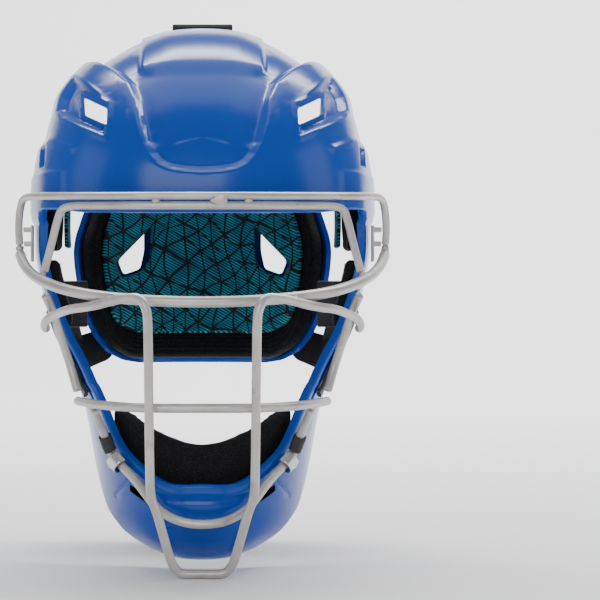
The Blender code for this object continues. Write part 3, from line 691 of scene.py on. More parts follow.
def sweep(name: str, path: Array, radius: float, material: bpy.types.Material, sides: int = 16,
          closed: bool = False) -> bpy.types.Object:
    """A round wire with slightly broken end edges along points in millimetres."""
    curve = bpy.data.curves.new(name, "CURVE")
    curve.dimensions = "3D"
    curve.bevel_depth = radius * MM
    curve.bevel_resolution = max(0, sides // 2 - 2)
    curve.use_fill_caps = not closed
    reach = np.ones(len(path))
    if not closed:
        first, last = unit(path[:1] - path[1:2])[0], unit(path[-1:] - path[-2:-1])[0]
        lip = radius * 0.28
        path = np.concatenate([path[:1], path[:1] - first * lip, path[1:-1], path[-1:] - last * lip,
                               path[-1:]])
        reach = np.ones(len(path))
        reach[0] = reach[-1] = 0.72
    spline = curve.splines.new("POLY")
    spline.points.add(len(path) - 1)
    for target, row, size in zip(spline.points, path, reach):
        target.co = (*(row * MM), 1.0)
        target.radius = size
    spline.use_cyclic_u = closed
    holder = bpy.data.objects.new(name, curve)
    bpy.context.scene.collection.objects.link(holder)
    bpy.context.view_layer.update()
    graph = bpy.context.evaluated_depsgraph_get()
    mesh = bpy.data.meshes.new_from_object(holder.evaluated_get(graph))
    bpy.data.objects.remove(holder, do_unlink=True)
    bpy.data.curves.remove(curve)
    shape = bmesh.new()
    shape.from_mesh(mesh)
    bpy.data.meshes.remove(mesh)
    bmesh.ops.remove_doubles(shape, verts=shape.verts, dist=0.000001)
    bmesh.ops.recalc_face_normals(shape, faces=shape.faces)
    return mesh_piece(name, shape, material, 50.0)


def prism(outline: Sequence[tuple[float, float]], low_y: float, high_y: float,
          corner: float = 0.0) -> bmesh.types.BMesh:
    """A prism along Y from an outline in X and Z, with round upright corners."""
    solid = bmesh.new()
    base = solid.faces.new([solid.verts.new((x * MM, low_y * MM, z * MM)) for x, z in outline])
    grown = bmesh.ops.extrude_face_region(solid, geom=[base])
    far = [part for part in grown["geom"] if isinstance(part, bmesh.types.BMVert)]
    bmesh.ops.translate(solid, vec=(0, (high_y - low_y) * MM, 0), verts=far)
    bmesh.ops.recalc_face_normals(solid, faces=solid.faces)
    if corner:
        uprights = [edge for edge in solid.edges
                    if abs(edge.verts[0].co.y - edge.verts[1].co.y) > 0.5 * (high_y - low_y) * MM]
        round_edges(solid, uprights, corner, 5)
    return solid


def round_edges(solid: bmesh.types.BMesh, edges: Sequence[bmesh.types.BMEdge], size: float,
                segments: int) -> None:
    """Round edges by a size in millimetres."""
    bmesh.ops.bevel(solid, geom=edges, offset=size * MM, segments=segments, profile=0.5,
                    affect="EDGES", material=-1)


def corner_edges(solid: bmesh.types.BMesh) -> list[bmesh.types.BMEdge]:
    """The edges that turn by more than a radian."""
    return [edge for edge in solid.edges if edge.calc_face_angle(0.0) > 1.0]


def box(size: Sequence[float], bevel: float = 0.0, segments: int = 2) -> bmesh.types.BMesh:
    """A block at the origin, in millimetres, with round edges."""
    solid = bmesh.new()
    bmesh.ops.create_cube(solid, size=1.0)
    bmesh.ops.scale(solid, vec=Vector(size) * MM, verts=solid.verts)
    if bevel:
        round_edges(solid, solid.edges[:], bevel, segments)
    return solid


def moved(solid: bmesh.types.BMesh, centre: Array, frame_axes: Matrix) -> bmesh.types.BMesh:
    """Turn a solid by a 3x3 matrix of columns and put it at a place in millimetres."""
    bmesh.ops.transform(solid, matrix=frame_axes.to_4x4(), verts=solid.verts)
    bmesh.ops.translate(solid, vec=Vector(centre) * MM, verts=solid.verts)
    return solid


def square_axes(first: Array, second: Array) -> Matrix:
    """Columns: first, second made square to it, and their cross product."""
    x_axis = Vector(first).normalized()
    y_axis = (Vector(second) - x_axis * x_axis.dot(Vector(second))).normalized()
    return Matrix((x_axis, y_axis, x_axis.cross(y_axis))).transposed()


def cut(piece: bpy.types.Object, solid: bmesh.types.BMesh) -> None:
    """Subtract a solid from a piece when it settles."""
    mesh = bpy.data.meshes.new("cutter")
    solid.to_mesh(mesh)
    solid.free()
    cutter = bpy.data.objects.new("cutter", mesh)
    bpy.context.scene.collection.objects.link(cutter)
    cutter.hide_render = True
    step = piece.modifiers.new("cut", "BOOLEAN")
    step.operation, step.solver, step.object = "DIFFERENCE", "EXACT", cutter


def join(solids: Sequence[bmesh.types.BMesh]) -> bmesh.types.BMesh:
    """Put several solids in one bmesh."""
    whole = bmesh.new()
    for solid in solids:
        mesh = bpy.data.meshes.new("part")
        solid.to_mesh(mesh)
        solid.free()
        whole.from_mesh(mesh)
        bpy.data.meshes.remove(mesh)
    return whole


# --- the shell's form ---

@dataclass
class HeadForm:
    """The smooth surface under the shell's relief."""
    half_width: float = 104.0
    half_depth: float = 113.0
    dome_base: float = 60.0
    dome_height: float = 108.5
    crown_shift: float = 17.0
    power: float = 2.3
    dome_power: float = 2.15
    width_below: list = field(default_factory=lambda: [
        (60, 104), (40, 104), (18, 102), (-15, 93), (-50, 79), (-62, 73.5), (-88, 68.5), (-107, 66),
        (-124, 63.5), (-136, 57), (-145, 46), (-151, 33), (-156, 12)])
    front_below: list = field(default_factory=lambda: [
        (60, 113), (0, 113), (-40, 114), (-80, 116), (-105, 118), (-126, 116), (-140, 108),
        (-150, 94), (-156, 70)])

    def section(self, points: Array) -> Array:
        """Below 1 inside the form, above 1 outside."""
        x, y, z = points.T
        rise = np.clip((z - self.dome_base) / self.dome_height, 0.0, 1.0)
        shrink = np.maximum(1.0 - rise ** self.dome_power, 0.0) ** (1.0 / self.dome_power)
        above = z > self.dome_base
        width = np.where(above, self.half_width * shrink, read_table(self.width_below, z))
        depth = np.where(above, self.half_depth * shrink, read_table(self.front_below, z))
        shift = self.crown_shift * smooth_step(self.dome_base, self.dome_base + self.dome_height, z)
        y = np.where(above, y - shift, y)
        width, depth = np.maximum(width, 0.5), np.maximum(depth, 0.5)
        reach = np.abs(x / width) ** self.power + np.abs(y / depth) ** self.power
        return np.where(z > self.dome_base + self.dome_height, 2.0, reach)

    def point(self, direction: Array) -> Array:
        """Where rays from the origin leave the form."""
        low = np.full(len(direction), 30.0)
        high = np.full(len(direction), 200.0)
        for _ in range(30):
            middle = 0.5 * (low + high)
            inside = self.section(direction * middle[:, None]) < 1.0
            low = np.where(inside, middle, low)
            high = np.where(inside, high, middle)
        return direction * low[:, None]

    def normal(self, direction: Array) -> Array:
        """Outward normals of the form along rays."""
        side = unit(np.cross(direction, np.array([0.31, 0.2, 0.93]))) * 0.02
        other = unit(np.cross(direction, side)) * 0.02

        def span(step: Array) -> Array:
            """The form's chord between the rays a step to each side."""
            return self.point(unit(direction + step)) - self.point(unit(direction - step))

        normal = unit(np.cross(span(side), span(other)))
        facing = np.sign((normal * direction).sum(axis=1, keepdims=True))
        return normal * facing

    def beside(self, direction: Array, offset: Array | float) -> Array:
        """Points beside the form, offset outwards."""
        return self.point(direction) + self.normal(direction) * np.reshape(offset, (-1, 1))

    def beside_point(self, point: Sequence[float], offset: float) -> Array:
        """One point beside the form, on the ray through the given one."""
        return self.beside(unit(np.array([point], float)), offset)[0]


FORM = HeadForm()

OPENING_EDGE = [(0, -114, 50), (34, -111, 50.5), (66, -98, 52), (86, -76, 54), (96, -58, 53),
                (98, -50, 40), (96.5, -48, 22), (92, -52, 3), (84.5, -60, -18), (75, -69, -37),
                (65, -77, -57), (57, -84, -73), (48.6, -91, -84.6), (36, -104.4, -95.4),
                (20.8, -114.3, -104.1), (0, -118, -104.7)]
REAR_RIM = [(0, 42, 167), (32, 42, 161), (62, 38, 144), (86, 32, 115), (99, 28, 84),
            (104, 24, 54), (103, 20, 24), (97, 14, 0), (90, 8, -24), (83, 8, -44),
            (77, 8, -62), (70, -22, -88), (64, -46, -108), (54, -66, -128),
            (32, -80, -145), (0, -88, -151)]


def loop_direction(table: Sequence[Sequence[float]], u: Array) -> Array:
    """Unit directions to a mirrored loop at u from 0 to 1 (0 and 1 at the top centre)."""
    rows = np.array(table, float)
    mirror = np.array([-1.0, 1.0, 1.0])
    rows = np.concatenate([rows[1:2] * mirror, rows, rows[-2:-1] * mirror])
    part = np.where(u <= 0.5, u * 2.0, 2.0 - u * 2.0)
    points = cubic(rows, part * (len(table) - 1) + 1.0)
    points[:, 0] *= np.where(u <= 0.5, 1.0, -1.0)
    points[(u <= 0.0) | (u >= 1.0) | (u == 0.5), 0] = 0.0
    return unit(points)


def turn_between(first: Array, second: Array, part: Array) -> Array:
    """Directions part of the way from the first to the second."""
    angle = np.arccos(np.clip((first * second).sum(axis=1), -1.0, 1.0))
    sine = np.maximum(np.sin(angle), 1e-6)
    a, b = np.sin((1.0 - part) * angle) / sine, np.sin(part * angle) / sine
    return unit(first * a[:, None] + second * b[:, None])


@dataclass
class FrontShell:
    """The one-piece helmet, cheek and chin shell with its moulded relief."""
    wall: float = 3.0
    raised: float = 4.5
    columns: int = 240
    rows: int = 70
    edge_zone: float = 14.0
    edge_rows: float = 0.2
    rim_zone: float = 5.0
    rim_rows: float = 0.06
    edge_round: float = 1.9
    rim_round: float = 1.4
    bend_limit: float = 0.07
    length_columns: int = 129
    bead_width: float = 4.7
    panel_edge: list = field(default_factory=lambda: [
        (0, 76.4), (9.7, 76.9), (17, 78.1), (21.9, 80.4), (26.0, 85.0), (29.0, 91.0), (32.2, 101.8),
        (35.4, 117.6), (39.5, 128), (49.4, 137), (60.5, 143.4), (75, 146), (112, 147)])
    vent_recess: list = field(default_factory=lambda: [
        (75, 132.5), (82.5, 121), (84.5, 112), (81, 107.0), (54.5, 93.0), (53.0, 111.5)])
    vent_hole: list = field(default_factory=lambda: [
        (55.6, 101.6), (69.0, 108.6), (70.4, 120.4), (55.6, 111.8)])
    chin_slot: list = field(default_factory=lambda: [
        (22.0, -118.0), (42.0, -106.5), (42.0, -110.5), (24.0, -121.5)])

    def lengths(self) -> Array:
        """Length of the shell from the opening to the rear rim, for evenly spaced columns."""
        columns = np.linspace(0.0, 1.0, self.length_columns)
        inner, outer = loop_direction(OPENING_EDGE, columns), loop_direction(REAR_RIM, columns)
        total, last = np.zeros(len(columns)), None
        for part in np.linspace(0.0, 1.0, 17):
            here = FORM.point(turn_between(inner, outer, np.full(len(columns), part)))
            if last is not None:
                total += np.linalg.norm(here - last, axis=1)
            last = here
        return total

    def stations(self, u: Array, v: Array) -> tuple[Array, Array, Array]:
        """Directions, and distances from the opening and from the rear rim."""
        total = np.interp(u, np.linspace(0.0, 1.0, self.length_columns), self.length_table)
        middle_rows = 1.0 - self.edge_rows - self.rim_rows
        near = self.edge_zone * v / self.edge_rows
        middle = self.edge_zone + (total - self.edge_zone
                                   - self.rim_zone) * (v - self.edge_rows) / middle_rows
        far = total - self.rim_zone * (1.0 - v) / self.rim_rows
        run = np.where(v < self.edge_rows, near, np.where(v < 1.0 - self.rim_rows, middle, far))
        direction = turn_between(loop_direction(OPENING_EDGE, u), loop_direction(REAR_RIM, u),
                                 run / total)
        return direction, run, total - run

    def relief(self, points: Array, edge: Array, rim: Array) -> Array:
        """Moulded height over the form."""
        x, y, z = np.abs(points[:, 0]), points[:, 1], points[:, 2]
        height = self.layer_relief(x, y, z) + self.vent_relief(x, z) + self.side_relief(x, y, z)
        height += self.cheek_relief(x, z, edge) + self.chin_relief(x, y, z)
        for away, radius in ((edge, self.edge_round), (rim, self.rim_round)):
            near = np.clip(radius - away, 0.0, radius)
            height -= radius - np.sqrt(np.maximum(radius ** 2 - near ** 2, 0.0))
        return height

    def layer_relief(self, x: Array, y: Array, z: Array) -> Array:
        """The brow and temple layer, the middle panel's facets and the crown ridges."""
        edge_x, edge_z = np.array(self.panel_edge, float).T
        distance = distance_to(x, z, self.panel_edge)
        inside = np.where(z < np.interp(x, edge_x, edge_z), distance, -distance)
        band = 5.0 - 2.4 * smooth_step(44.0, 60.0, x)
        tall = self.raised + 1.3 * smooth_step(50.0, 70.0, x) * smooth_step(112.0, 130.0, z)
        tall -= 2.6 * smooth_step(88.0, 101.0, x) * (1.0 - smooth_step(96.0, 118.0, z))
        layer = ramp(inside / band, 0.07) * tall
        layer *= ramp((z - 45.5) / 3.5) * (1.0 - smooth_step(11.0, 17.0, y))
        front = 1.0 - smooth_step(-20.0, 10.0, y)
        outside = 1.0 - ramp(inside / band + 0.2)
        facet = np.interp(z, [78, 91, 100, 122, 140, 170], [17.0, 17.0, 13.5, 16.5, 19.0, 25.0])
        slope = 0.12 * np.maximum(x - facet, 0.0) * np.maximum(front, 0.5) * smooth_step(86.0,
                                                                                         92.0, z)
        shelf = 0.5 * (1.0 - ramp((z - 93.0 + 0.25 * x) / 2.0)) * (1.0 - smooth_step(15.0, 20.0, x))
        ridge = 2.0 * (1.0 - ramp((x - 36.5) / 2.2, 0.08)) * ramp((z - 133.0) / 7.0)
        return layer - (np.minimum(slope, 2.0) + shelf) * outside + ridge

    def vent_relief(self, x: Array, z: Array) -> Array:
        """A sunken temple vent with a raised lip round its hole."""
        inside = signed_inside(x, z, self.vent_recess)
        sunk = -3.6 * ramp(inside / 3.6, 0.07)
        beside = -signed_inside(x, z, self.vent_hole)
        lip = 1.9 * (1.0 - ramp((beside - 1.6) / 1.3, 0.1))
        rim = 0.6 * np.maximum(1.0 - np.abs(inside + 1.2) / 1.6, 0.0)
        return sunk + lip + rim

    def side_relief(self, x: Array, y: Array, z: Array) -> Array:
        """The waist under the temple pods, the side slot, the wedge and the step over the ear."""
        waist = smooth_step(82.0, 95.0, x) * smooth_step(90.0, 100.0,
                                                         z) * (1.0 - smooth_step(112.0, 126.0, z))
        slot = ramp((2.6 - np.abs(x - 93.0)) / 1.4) * ramp((z - 78.5) / 1.5) * ramp((91.5 - z)
                                                                                    / 1.5)
        slot *= 1.0 - smooth_step(-30.0, -20.0, y)
        wedge = np.maximum(1.0 - distance_to(x, z, [(88.0, 93.5), (74.0, 87.0)]) / 3.2, 0.0)
        step = (1.0 - ramp((z - 74.5) / 1.8)) * smooth_step(76.0, 80.0, x) * smooth_step(50.0,
                                                                                         54.0, z)
        return -3.0 * waist - 3.0 * slot + 1.1 * wedge + 0.9 * step

    def cheek_relief(self, x: Array, z: Array, edge: Array) -> Array:
        """The bead round the face opening and the channel beside it."""
        cheek = smooth_step(-100.0, -88.0, z) * (1.0 - smooth_step(34.0, 46.0, z))
        bead = 0.9 * (1.0 - ramp((edge - self.bead_width) / 1.2)) * (1.0
                                                                     - smooth_step(44.0, 50.0, z))
        channel = ramp((edge - 5.4) / 1.2) * (1.0 - ramp((edge - 9.4) / 1.6))
        fold = np.maximum(1.0 - distance_to(x, z, [(50.9, -114.4), (42.8, -104.6)]) / 1.6, 0.0)
        return bead - 2.3 * channel * cheek - 0.6 * fold

    def chin_relief(self, x: Array, y: Array, z: Array) -> Array:
        """The chin guard's crease and its sunken lower panel."""
        front = 1.0 - smooth_step(-100.0, -88.0, y)
        crease = np.exp(-((z + 114.5) / 1.4) ** 2) * (1.0 - smooth_step(18.0, 23.0, x)) * front
        width = np.interp(z, [-152.0, -130.0], [13.0, 20.0])
        panel = ramp((-129.5 - z) / 1.3) * (1.0 - ramp((x - width) / 2.2)) * front
        return -0.9 * crease - 1.2 * panel

    def place(self, u: Array, v: Array) -> Array:
        """The shell's outer face."""
        direction, edge, rim = self.stations(u, v)
        points = FORM.point(direction)
        return points + FORM.normal(direction) * self.relief(points, edge, rim)[:, None]

    def height_at(self, u: Array, v: Array) -> Array:
        """The relief alone."""
        direction, edge, rim = self.stations(u, v)
        return self.relief(FORM.point(direction), edge, rim)

    def refine(self, sheet: bmesh.types.BMesh) -> None:
        """Split the faces that the relief bends across."""
        sheet.verts.index_update()
        ends = np.array([[edge.verts[0].index, edge.verts[1].index] for edge in sheet.edges])
        plane = np.array([vert.co[:2] for vert in sheet.verts])
        height = self.height_at(plane[:, 0], plane[:, 1])
        middle = plane[ends].mean(axis=1)
        bend = np.abs(self.height_at(middle[:, 0], middle[:, 1]) - height[ends].mean(axis=1))
        bent = {edge for edge, amount in zip(sheet.edges, bend) if amount > self.bend_limit}
        split = {edge for face in sheet.faces if bent.intersection(face.edges)
                 for edge in face.edges}
        bmesh.ops.subdivide_edges(sheet, edges=list(split), cuts=1, use_grid_fill=True)
        bmesh.ops.triangulate(sheet, faces=[face for face in sheet.faces if len(face.verts) > 4])

    def build(self, finishes: Finishes) -> None:
        """Make the shell."""
        self.length_table = self.lengths()
        sheet = grid(self.columns, self.rows)
        for _ in range(2):
            self.refine(sheet)
        lay(sheet, self.place, outwards, wrap=True)
        thicken(sheet, self.wall, lambda points: FORM.normal(unit(points)))
        shell = mesh_piece("moulded_front_shell", sheet, finishes.gloss, 48.0)
        for _, side in SIDES:
            cut(shell, prism(sided(self.vent_hole, side), -130.0, -30.0, 1.3))
            cut(shell, prism(sided(self.chin_slot, side), -140.0, -60.0, 0.9))
        for y in (14.0, 26.0):
            cut(shell,
                moved(box((41.0, 3.6, 24.0), 1.0), np.array([0.0, y, 167.0]), Matrix.Identity(3)))
        settle(shell, 48.0)
        declare(shell, SHELL, Slot.GLOSS, "front_shell")


# --- pads and liners inside the shell ---

def puff(piece: bpy.types.Object, held: Callable[[Array], Array], voxel: float = 4.0,
         pressure: float = 4.0, cap: float = 2.5, rounds: int = 5) -> None:
    """Fill a pad with a cloth simulation and round it off.

    Args:
        piece: A closed pad.
        held: Gives 1 for points in millimetres that stay put, else 0.
        voxel: Size of the remesh in millimetres.
        pressure: Cloth pressure.
        cap: Farthest that a point may move, in millimetres.
        rounds: Smoothing passes before the filling.
    """
    remesh = piece.modifiers.new("remesh", "REMESH")
    remesh.mode, remesh.voxel_size, remesh.use_smooth_shade = "VOXEL", voxel * MM, True
    soften = piece.modifiers.new("soften", "SMOOTH")
    soften.factor, soften.iterations = 0.5, rounds
    settle(piece, 180.0)
    start = np.array([vert.co[:] for vert in piece.data.vertices])
    grip = held(start / MM)
    group = piece.vertex_groups.new(name="held")
    for index in np.nonzero(grip > 0.5)[0]:
        group.add([int(index)], 1.0, "REPLACE")
    filling = piece.modifiers.new("filling", "CLOTH")
    filling.settings.use_pressure = True
    filling.settings.uniform_pressure_force = pressure
    filling.settings.effector_weights.gravity = 0.0
    filling.settings.vertex_group_mass = "held"
    filling.collision_settings.use_collision = False
    for number in range(1, 21):
        bpy.context.scene.frame_set(number)
    settle(piece, 180.0)
    bpy.context.scene.frame_set(1)
    swollen = np.array([vert.co[:] for vert in piece.data.vertices])
    shift = swollen - start
    length = np.linalg.norm(shift, axis=1, keepdims=True)
    start += shift * np.minimum(1.0, cap * MM / np.maximum(length, 1e-9))
    piece.data.vertices.foreach_set("co", start.ravel())
    piece.vertex_groups.clear()
    fine = piece.modifiers.new("fine", "SUBSURF")
    fine.levels = fine.render_levels = 1
    settle(piece, 180.0)


def surface_of(piece: bpy.types.Object) -> BVHTree:
    """A search tree of a piece's mesh."""
    return BVHTree.FromObject(piece, bpy.context.evaluated_depsgraph_get())


def snapped(tree: BVHTree, points: Array, lift: float) -> tuple[Array, Array]:
    """Points moved to a surface and lifted, in millimetres, with the normals there."""
    places, normals = [], []
    for row in points:
        place, normal, _, _ = tree.find_nearest(Vector(row) * MM)
        places.append((place + normal * lift * MM)[:])
        normals.append(normal[:])
    return np.array(places) / MM, np.array(normals)


def stitches(path: Array, normals: Array, length: float = 2.4,
             radius: float = 0.32) -> bmesh.types.BMesh:
    """A dashed seam of small round-ended stitches along a path."""
    dashes = []
    stations = run_lengths(path)
    for start in np.arange(0.6, stations[-1] - length, length * 1.45):
        ends = [np.array([np.interp(start + length * part, stations, path[:, axis])
                          for axis in range(3)])
                for part in (0.0, 1.0)]
        normal = normals[min(int(np.searchsorted(stations, start)), len(normals) - 1)]
        dash = bmesh.new()
        bmesh.ops.create_icosphere(dash, subdivisions=1, radius=1.0)
        span = float(np.linalg.norm(ends[1] - ends[0]))
        bmesh.ops.scale(dash, vec=Vector((span * 0.56, radius * 1.15, radius)) * MM,
                        verts=dash.verts)
        turn = square_axes(ends[1] - ends[0], np.cross(normal, ends[1] - ends[0]))
        dashes.append(moved(dash, (ends[0] + ends[1]) / 2.0, turn))
    return join(dashes)


@dataclass
class Pads:
    """Foam pads, their seams, the teal liners and the ear guards."""
    wall_gap: float = 4.2
    temple_depth: float = 13.0
    liner_wall: float = 2.6

    def patch(self, azimuths: tuple[float, float], elevations: tuple[float, float],
              depth: float) -> Place:
        """A patch beside the shell's inner face, by angles in degrees round the head."""
        def place(u: Array, v: Array) -> Array:
            """Points of the patch."""
            azimuth = np.radians(azimuths[0] + (azimuths[1] - azimuths[0]) * u)
            rise = np.radians(elevations[0] + (elevations[1] - elevations[0]) * v)
            direction = np.stack([np.sin(azimuth) * np.cos(rise), -np.cos(azimuth) * np.cos(rise),
                                  np.sin(rise)], axis=1)
            return FORM.beside(direction, -depth)
        return place

    def crown(self, side: float) -> Place:
        """The pad under the crown near the rear rim."""
        def place(u: Array, v: Array) -> Array:
            """Points of the pad's upper face."""
            across = side * (1.6 + 52.0 * u)
            direction = unit(np.stack([across, 30.5 + 13.0 * v, 160.0 - 16.0 * u * u], axis=1))
            return FORM.beside(direction, -self.wall_gap)
        return place

    @staticmethod
    def chin(u: Array, v: Array) -> Array:
        """The chin cup's front face, with a slightly wavy top edge."""
        across = 2.0 * u - 1.0
        x = 57.5 * across
        top = -82.5 + 20.0 * np.abs(across) ** 1.7
        bottom = -143.0 + 22.0 * np.abs(across) ** 3.0
        z = top + (bottom - top) * v
        depth = read_table(FORM.front_below, z) - 14.0 - v
        width = read_table(FORM.width_below, z) + 3.0
        y = -depth * np.maximum(0.02, 1.0 - np.abs(x / width) ** 2.1) ** (1.0 / 2.1)
        return np.stack([x * 0.95, np.maximum(y, -110.0), z], axis=1)

    @staticmethod
    def inset(place: Place, border: float) -> Place:
        """The same patch, a little smaller all round."""
        return lambda u, v: place(border + (1.0 - 2.0 * border) * u,
                                  border + (1.0 - 2.0 * border) * v)

    def pad(self, node: str, place: Place, thickness: float, finishes: Finishes,
            **fill: Any) -> None:
        """Build one padded block with a welt round it.

        Args:
            node: The node that it stands for.
            place: The block's outer face.
            thickness: The block's depth in millimetres.
            finishes: The mask's materials.
            fill: Settings of the filling.
        """
        sheet = grid(14, 10)
        small = self.inset(place, 0.035)
        lay(sheet, small, outwards)
        thicken(sheet, thickness - 1.6)
        piece = mesh_piece("padded_" + node, sheet, finishes.foam)

        def held(points: Array) -> Array:
            """1 on the side that lies against the shell."""
            outer = FORM.point(unit(points))
            depth = np.linalg.norm(outer, axis=1) - np.linalg.norm(points, axis=1)
            return (depth < depth.min() + 3.0).astype(float)

        puff(piece, held, **fill)
        declare(piece, SHELL, Slot.FOAM, node)
        steps = np.linspace(0.0, 1.0, 22)
        ends = np.zeros(22)
        u = np.concatenate([steps, ends + 1.0, steps[::-1], ends])
        v = np.concatenate([ends, steps, ends + 1.0, steps[::-1]])
        rim = self.inset(place, 0.05)(u, v)
        inward = -unit(rim) * (thickness * 0.86)
        path, _ = snapped(surface_of(piece), rim + inward, 0.1)
        welt = sweep("welt_of_" + node, spaced(path, 0.4), 0.55, finishes.thread, 8, closed=True)
        declare(welt, SHELL, Slot.FOAM)

    def temple_liner(self, name: str, side: float, finishes: Finishes) -> None:
        """Build the printed cloth over a temple pad."""
        place = self.patch((side * 84.0, side * 98.5), (16.5, 40.0),
                           self.wall_gap + self.temple_depth + 0.8)

        def pillow(u: Array, v: Array) -> Array:
            """The cloth's back face, a little smaller than the pad."""
            return place(0.02 + 0.96 * u, 0.02 + 0.96 * v)

        def cloth(u: Array, v: Array) -> Array:
            """Flat coordinates of the cloth."""
            return np.stack([u * 58.0, v * 46.0 + 200.0, np.zeros(len(u))], axis=1)

        sheet = grid(40, 30)
        lay(sheet, pillow, outwards, cloth)
        thicken(sheet, self.liner_wall)
        round_edges(sheet, corner_edges(sheet), 1.2, 3)
        piece = mesh_piece("printed_" + name, sheet, finishes.liner, 60.0)
        declare(piece, SHELL, Slot.LINER, name)

    def ear_guard(self, name: str, side: float, finishes: Finishes) -> None:
        """Build a slotted ear guard."""
        sheet = grid(14, 40)
        lay(sheet, self.patch((side * 88.0, side * 94.5), (-15.0, 12.0), self.wall_gap), outwards)
        thicken(sheet, 4.0)
        round_edges(sheet, corner_edges(sheet), 0.9, 3)
        piece = mesh_piece("slotted_" + name, sheet, finishes.rubber)
        for y in (0.9, 5.3):
            cut(piece, moved(box((40.0, 2.2, 29.0), 1.0), np.array([side * 92.0, y, -2.5]),
                             Matrix.Identity(3)))
        settle(piece)
        declare(piece, SHELL, Slot.RUBBER, name)

    def build(self, finishes: Finishes) -> None:
        """Make every pad."""
        self.pad("brow_pad", self.patch((-34.0, 34.0), (32.0, 50.0), self.wall_gap), 15.0, finishes)
        for name, side in SIDES:
            self.pad("crown_pad_" + name, self.crown(side), 16.0, finishes)
            self.pad("temple_pad_" + name,
                     self.patch((side * 78.0, side * 100.0), (14.4, 42.0), self.wall_gap),
                     self.temple_depth, finishes)
            self.temple_liner("temple_liner_" + name, side, finishes)
            self.pad("cheek_pad_" + name,
                     self.patch((side * 63.0, side * 85.0), (-12.0, 13.5), self.wall_gap), 10.0,
                     finishes)
            self.pad("jaw_pad_" + name,
                     self.patch((side * 60.0, side * 82.0), (-52.0, -31.0), self.wall_gap), 8.0,
                     finishes,
                     voxel=3.0)
            self.ear_guard("ear_guard_" + name, side, finishes)
        self.chin_cup(finishes)

    def chin_cup(self, finishes: Finishes) -> None:
        """Build the chin cup."""
        sheet = grid(44, 22)
        lay(sheet, self.inset(self.chin, 0.01), lambda points: points * np.array([0.2, 1.0, 0.0]))
        thicken(sheet, 10.4)
        cup = mesh_piece("padded_chin_cup", sheet, finishes.foam)
        puff(cup, lambda points: (points[:, 1] < self.front_line(points)).astype(float), 2.6, 4.0,
             1.2, 4)
        declare(cup, SHELL, Slot.FOAM, "chin_pad")

    @staticmethod
    def front_line(points: Array) -> Array:
        """Y of the cup's front part, which the chin guard holds."""
        depth = read_table(FORM.front_below, points[:, 2]) - 18.0
        width = read_table(FORM.width_below, points[:, 2]) + 3.0
        return -depth * np.maximum(0.02, 1.0 - np.abs(points[:, 0] / width) ** 2.1) ** (1.0 / 2.1)


# --- cage ---

UPPER_BROW_HALF = [(0, -127.5, 58.7), (35, -125.0, 58.8), (66, -112.0, 59.4), (88, -92.0, 60.4),
                   (101, -70.0, 61.2), (107, -57.0, 60.0), (109.4, -52.0, 54.0),
                   (110.4, -50.0, 44.0), (110.0, -49.0, 33.0)]
LOWER_BROW_HALF = [(0, -127.5, 53.4), (35, -125.0, 53.5), (60, -115.2, 53.8), (74, -105.5, 54.0),
                   (81, -100.0, 52.0), (84, -98.5, 45.0), (87.5, -98.3, 31.0),
                   (91.5, -96.8, 16.5)]
EYE_HALF = [(0, -160.0, -1.0), (28, -156.5, -0.3), (56, -144.0, 2.0), (76, -127.0, 5.5),
            (91, -104.0, 10.5), (100, -84.0, 15.5), (106, -66.0, 21.5), (109.5, -51.0, 27.5)]
MOUTH_HALF = [(0, -157.0, -59.5), (30, -154.3, -59.5), (50, -137.5, -59.3), (63, -116.0, -59.0),
              (72.5, -94.0, -58.5)]
SIDE_WIRE = [(91.0, -97.0, 3.0), (87.5, -90.0, -6.0), (83.5, -85.0, -19.0), (77.5, -83.0, -38.0),
             (73.0, -87.5, -53.0)]
SHOULDER_HALF = [(91.5, -80.5, -17.0), (92.2, -86.0, -14.8), (89.8, -94.5, -11.2),
                 (84.5, -104.0, -8.4), (75.5, -122.0, -5.4), (67.0, -137.0, -4.2),
                 (59.0, -147.8, -2.8), (51.0, -153.8, -0.8), (43.0, -159.0, 0.8),
                 (35.0, -164.5, 0.8), (31.0, -167.0, -4.5), (29.8, -166.6, -14.0),
                 (29.4, -162.0, -50.0),
                 (29.0, -156.5, -90.0), (28.4, -151.5, -108.0), (25.0, -147.5, -119.0),
                 (18.5, -139.0, -143.0), (15.5, -136.5, -150.0), (11.0, -135.8, -153.3),
                 (0, -135.6, -153.6)]
JAW_HALF = [(0, -129.8, -126.2), (14, -127.6, -124.2), (26, -121.6, -117.4), (38.5, -110.3, -103.0),
            (48.8, -99.0, -93.2), (53.5, -99.0, -86.0), (58.0, -105.0, -73.0),
            (61.6, -113.6, -62.6)]


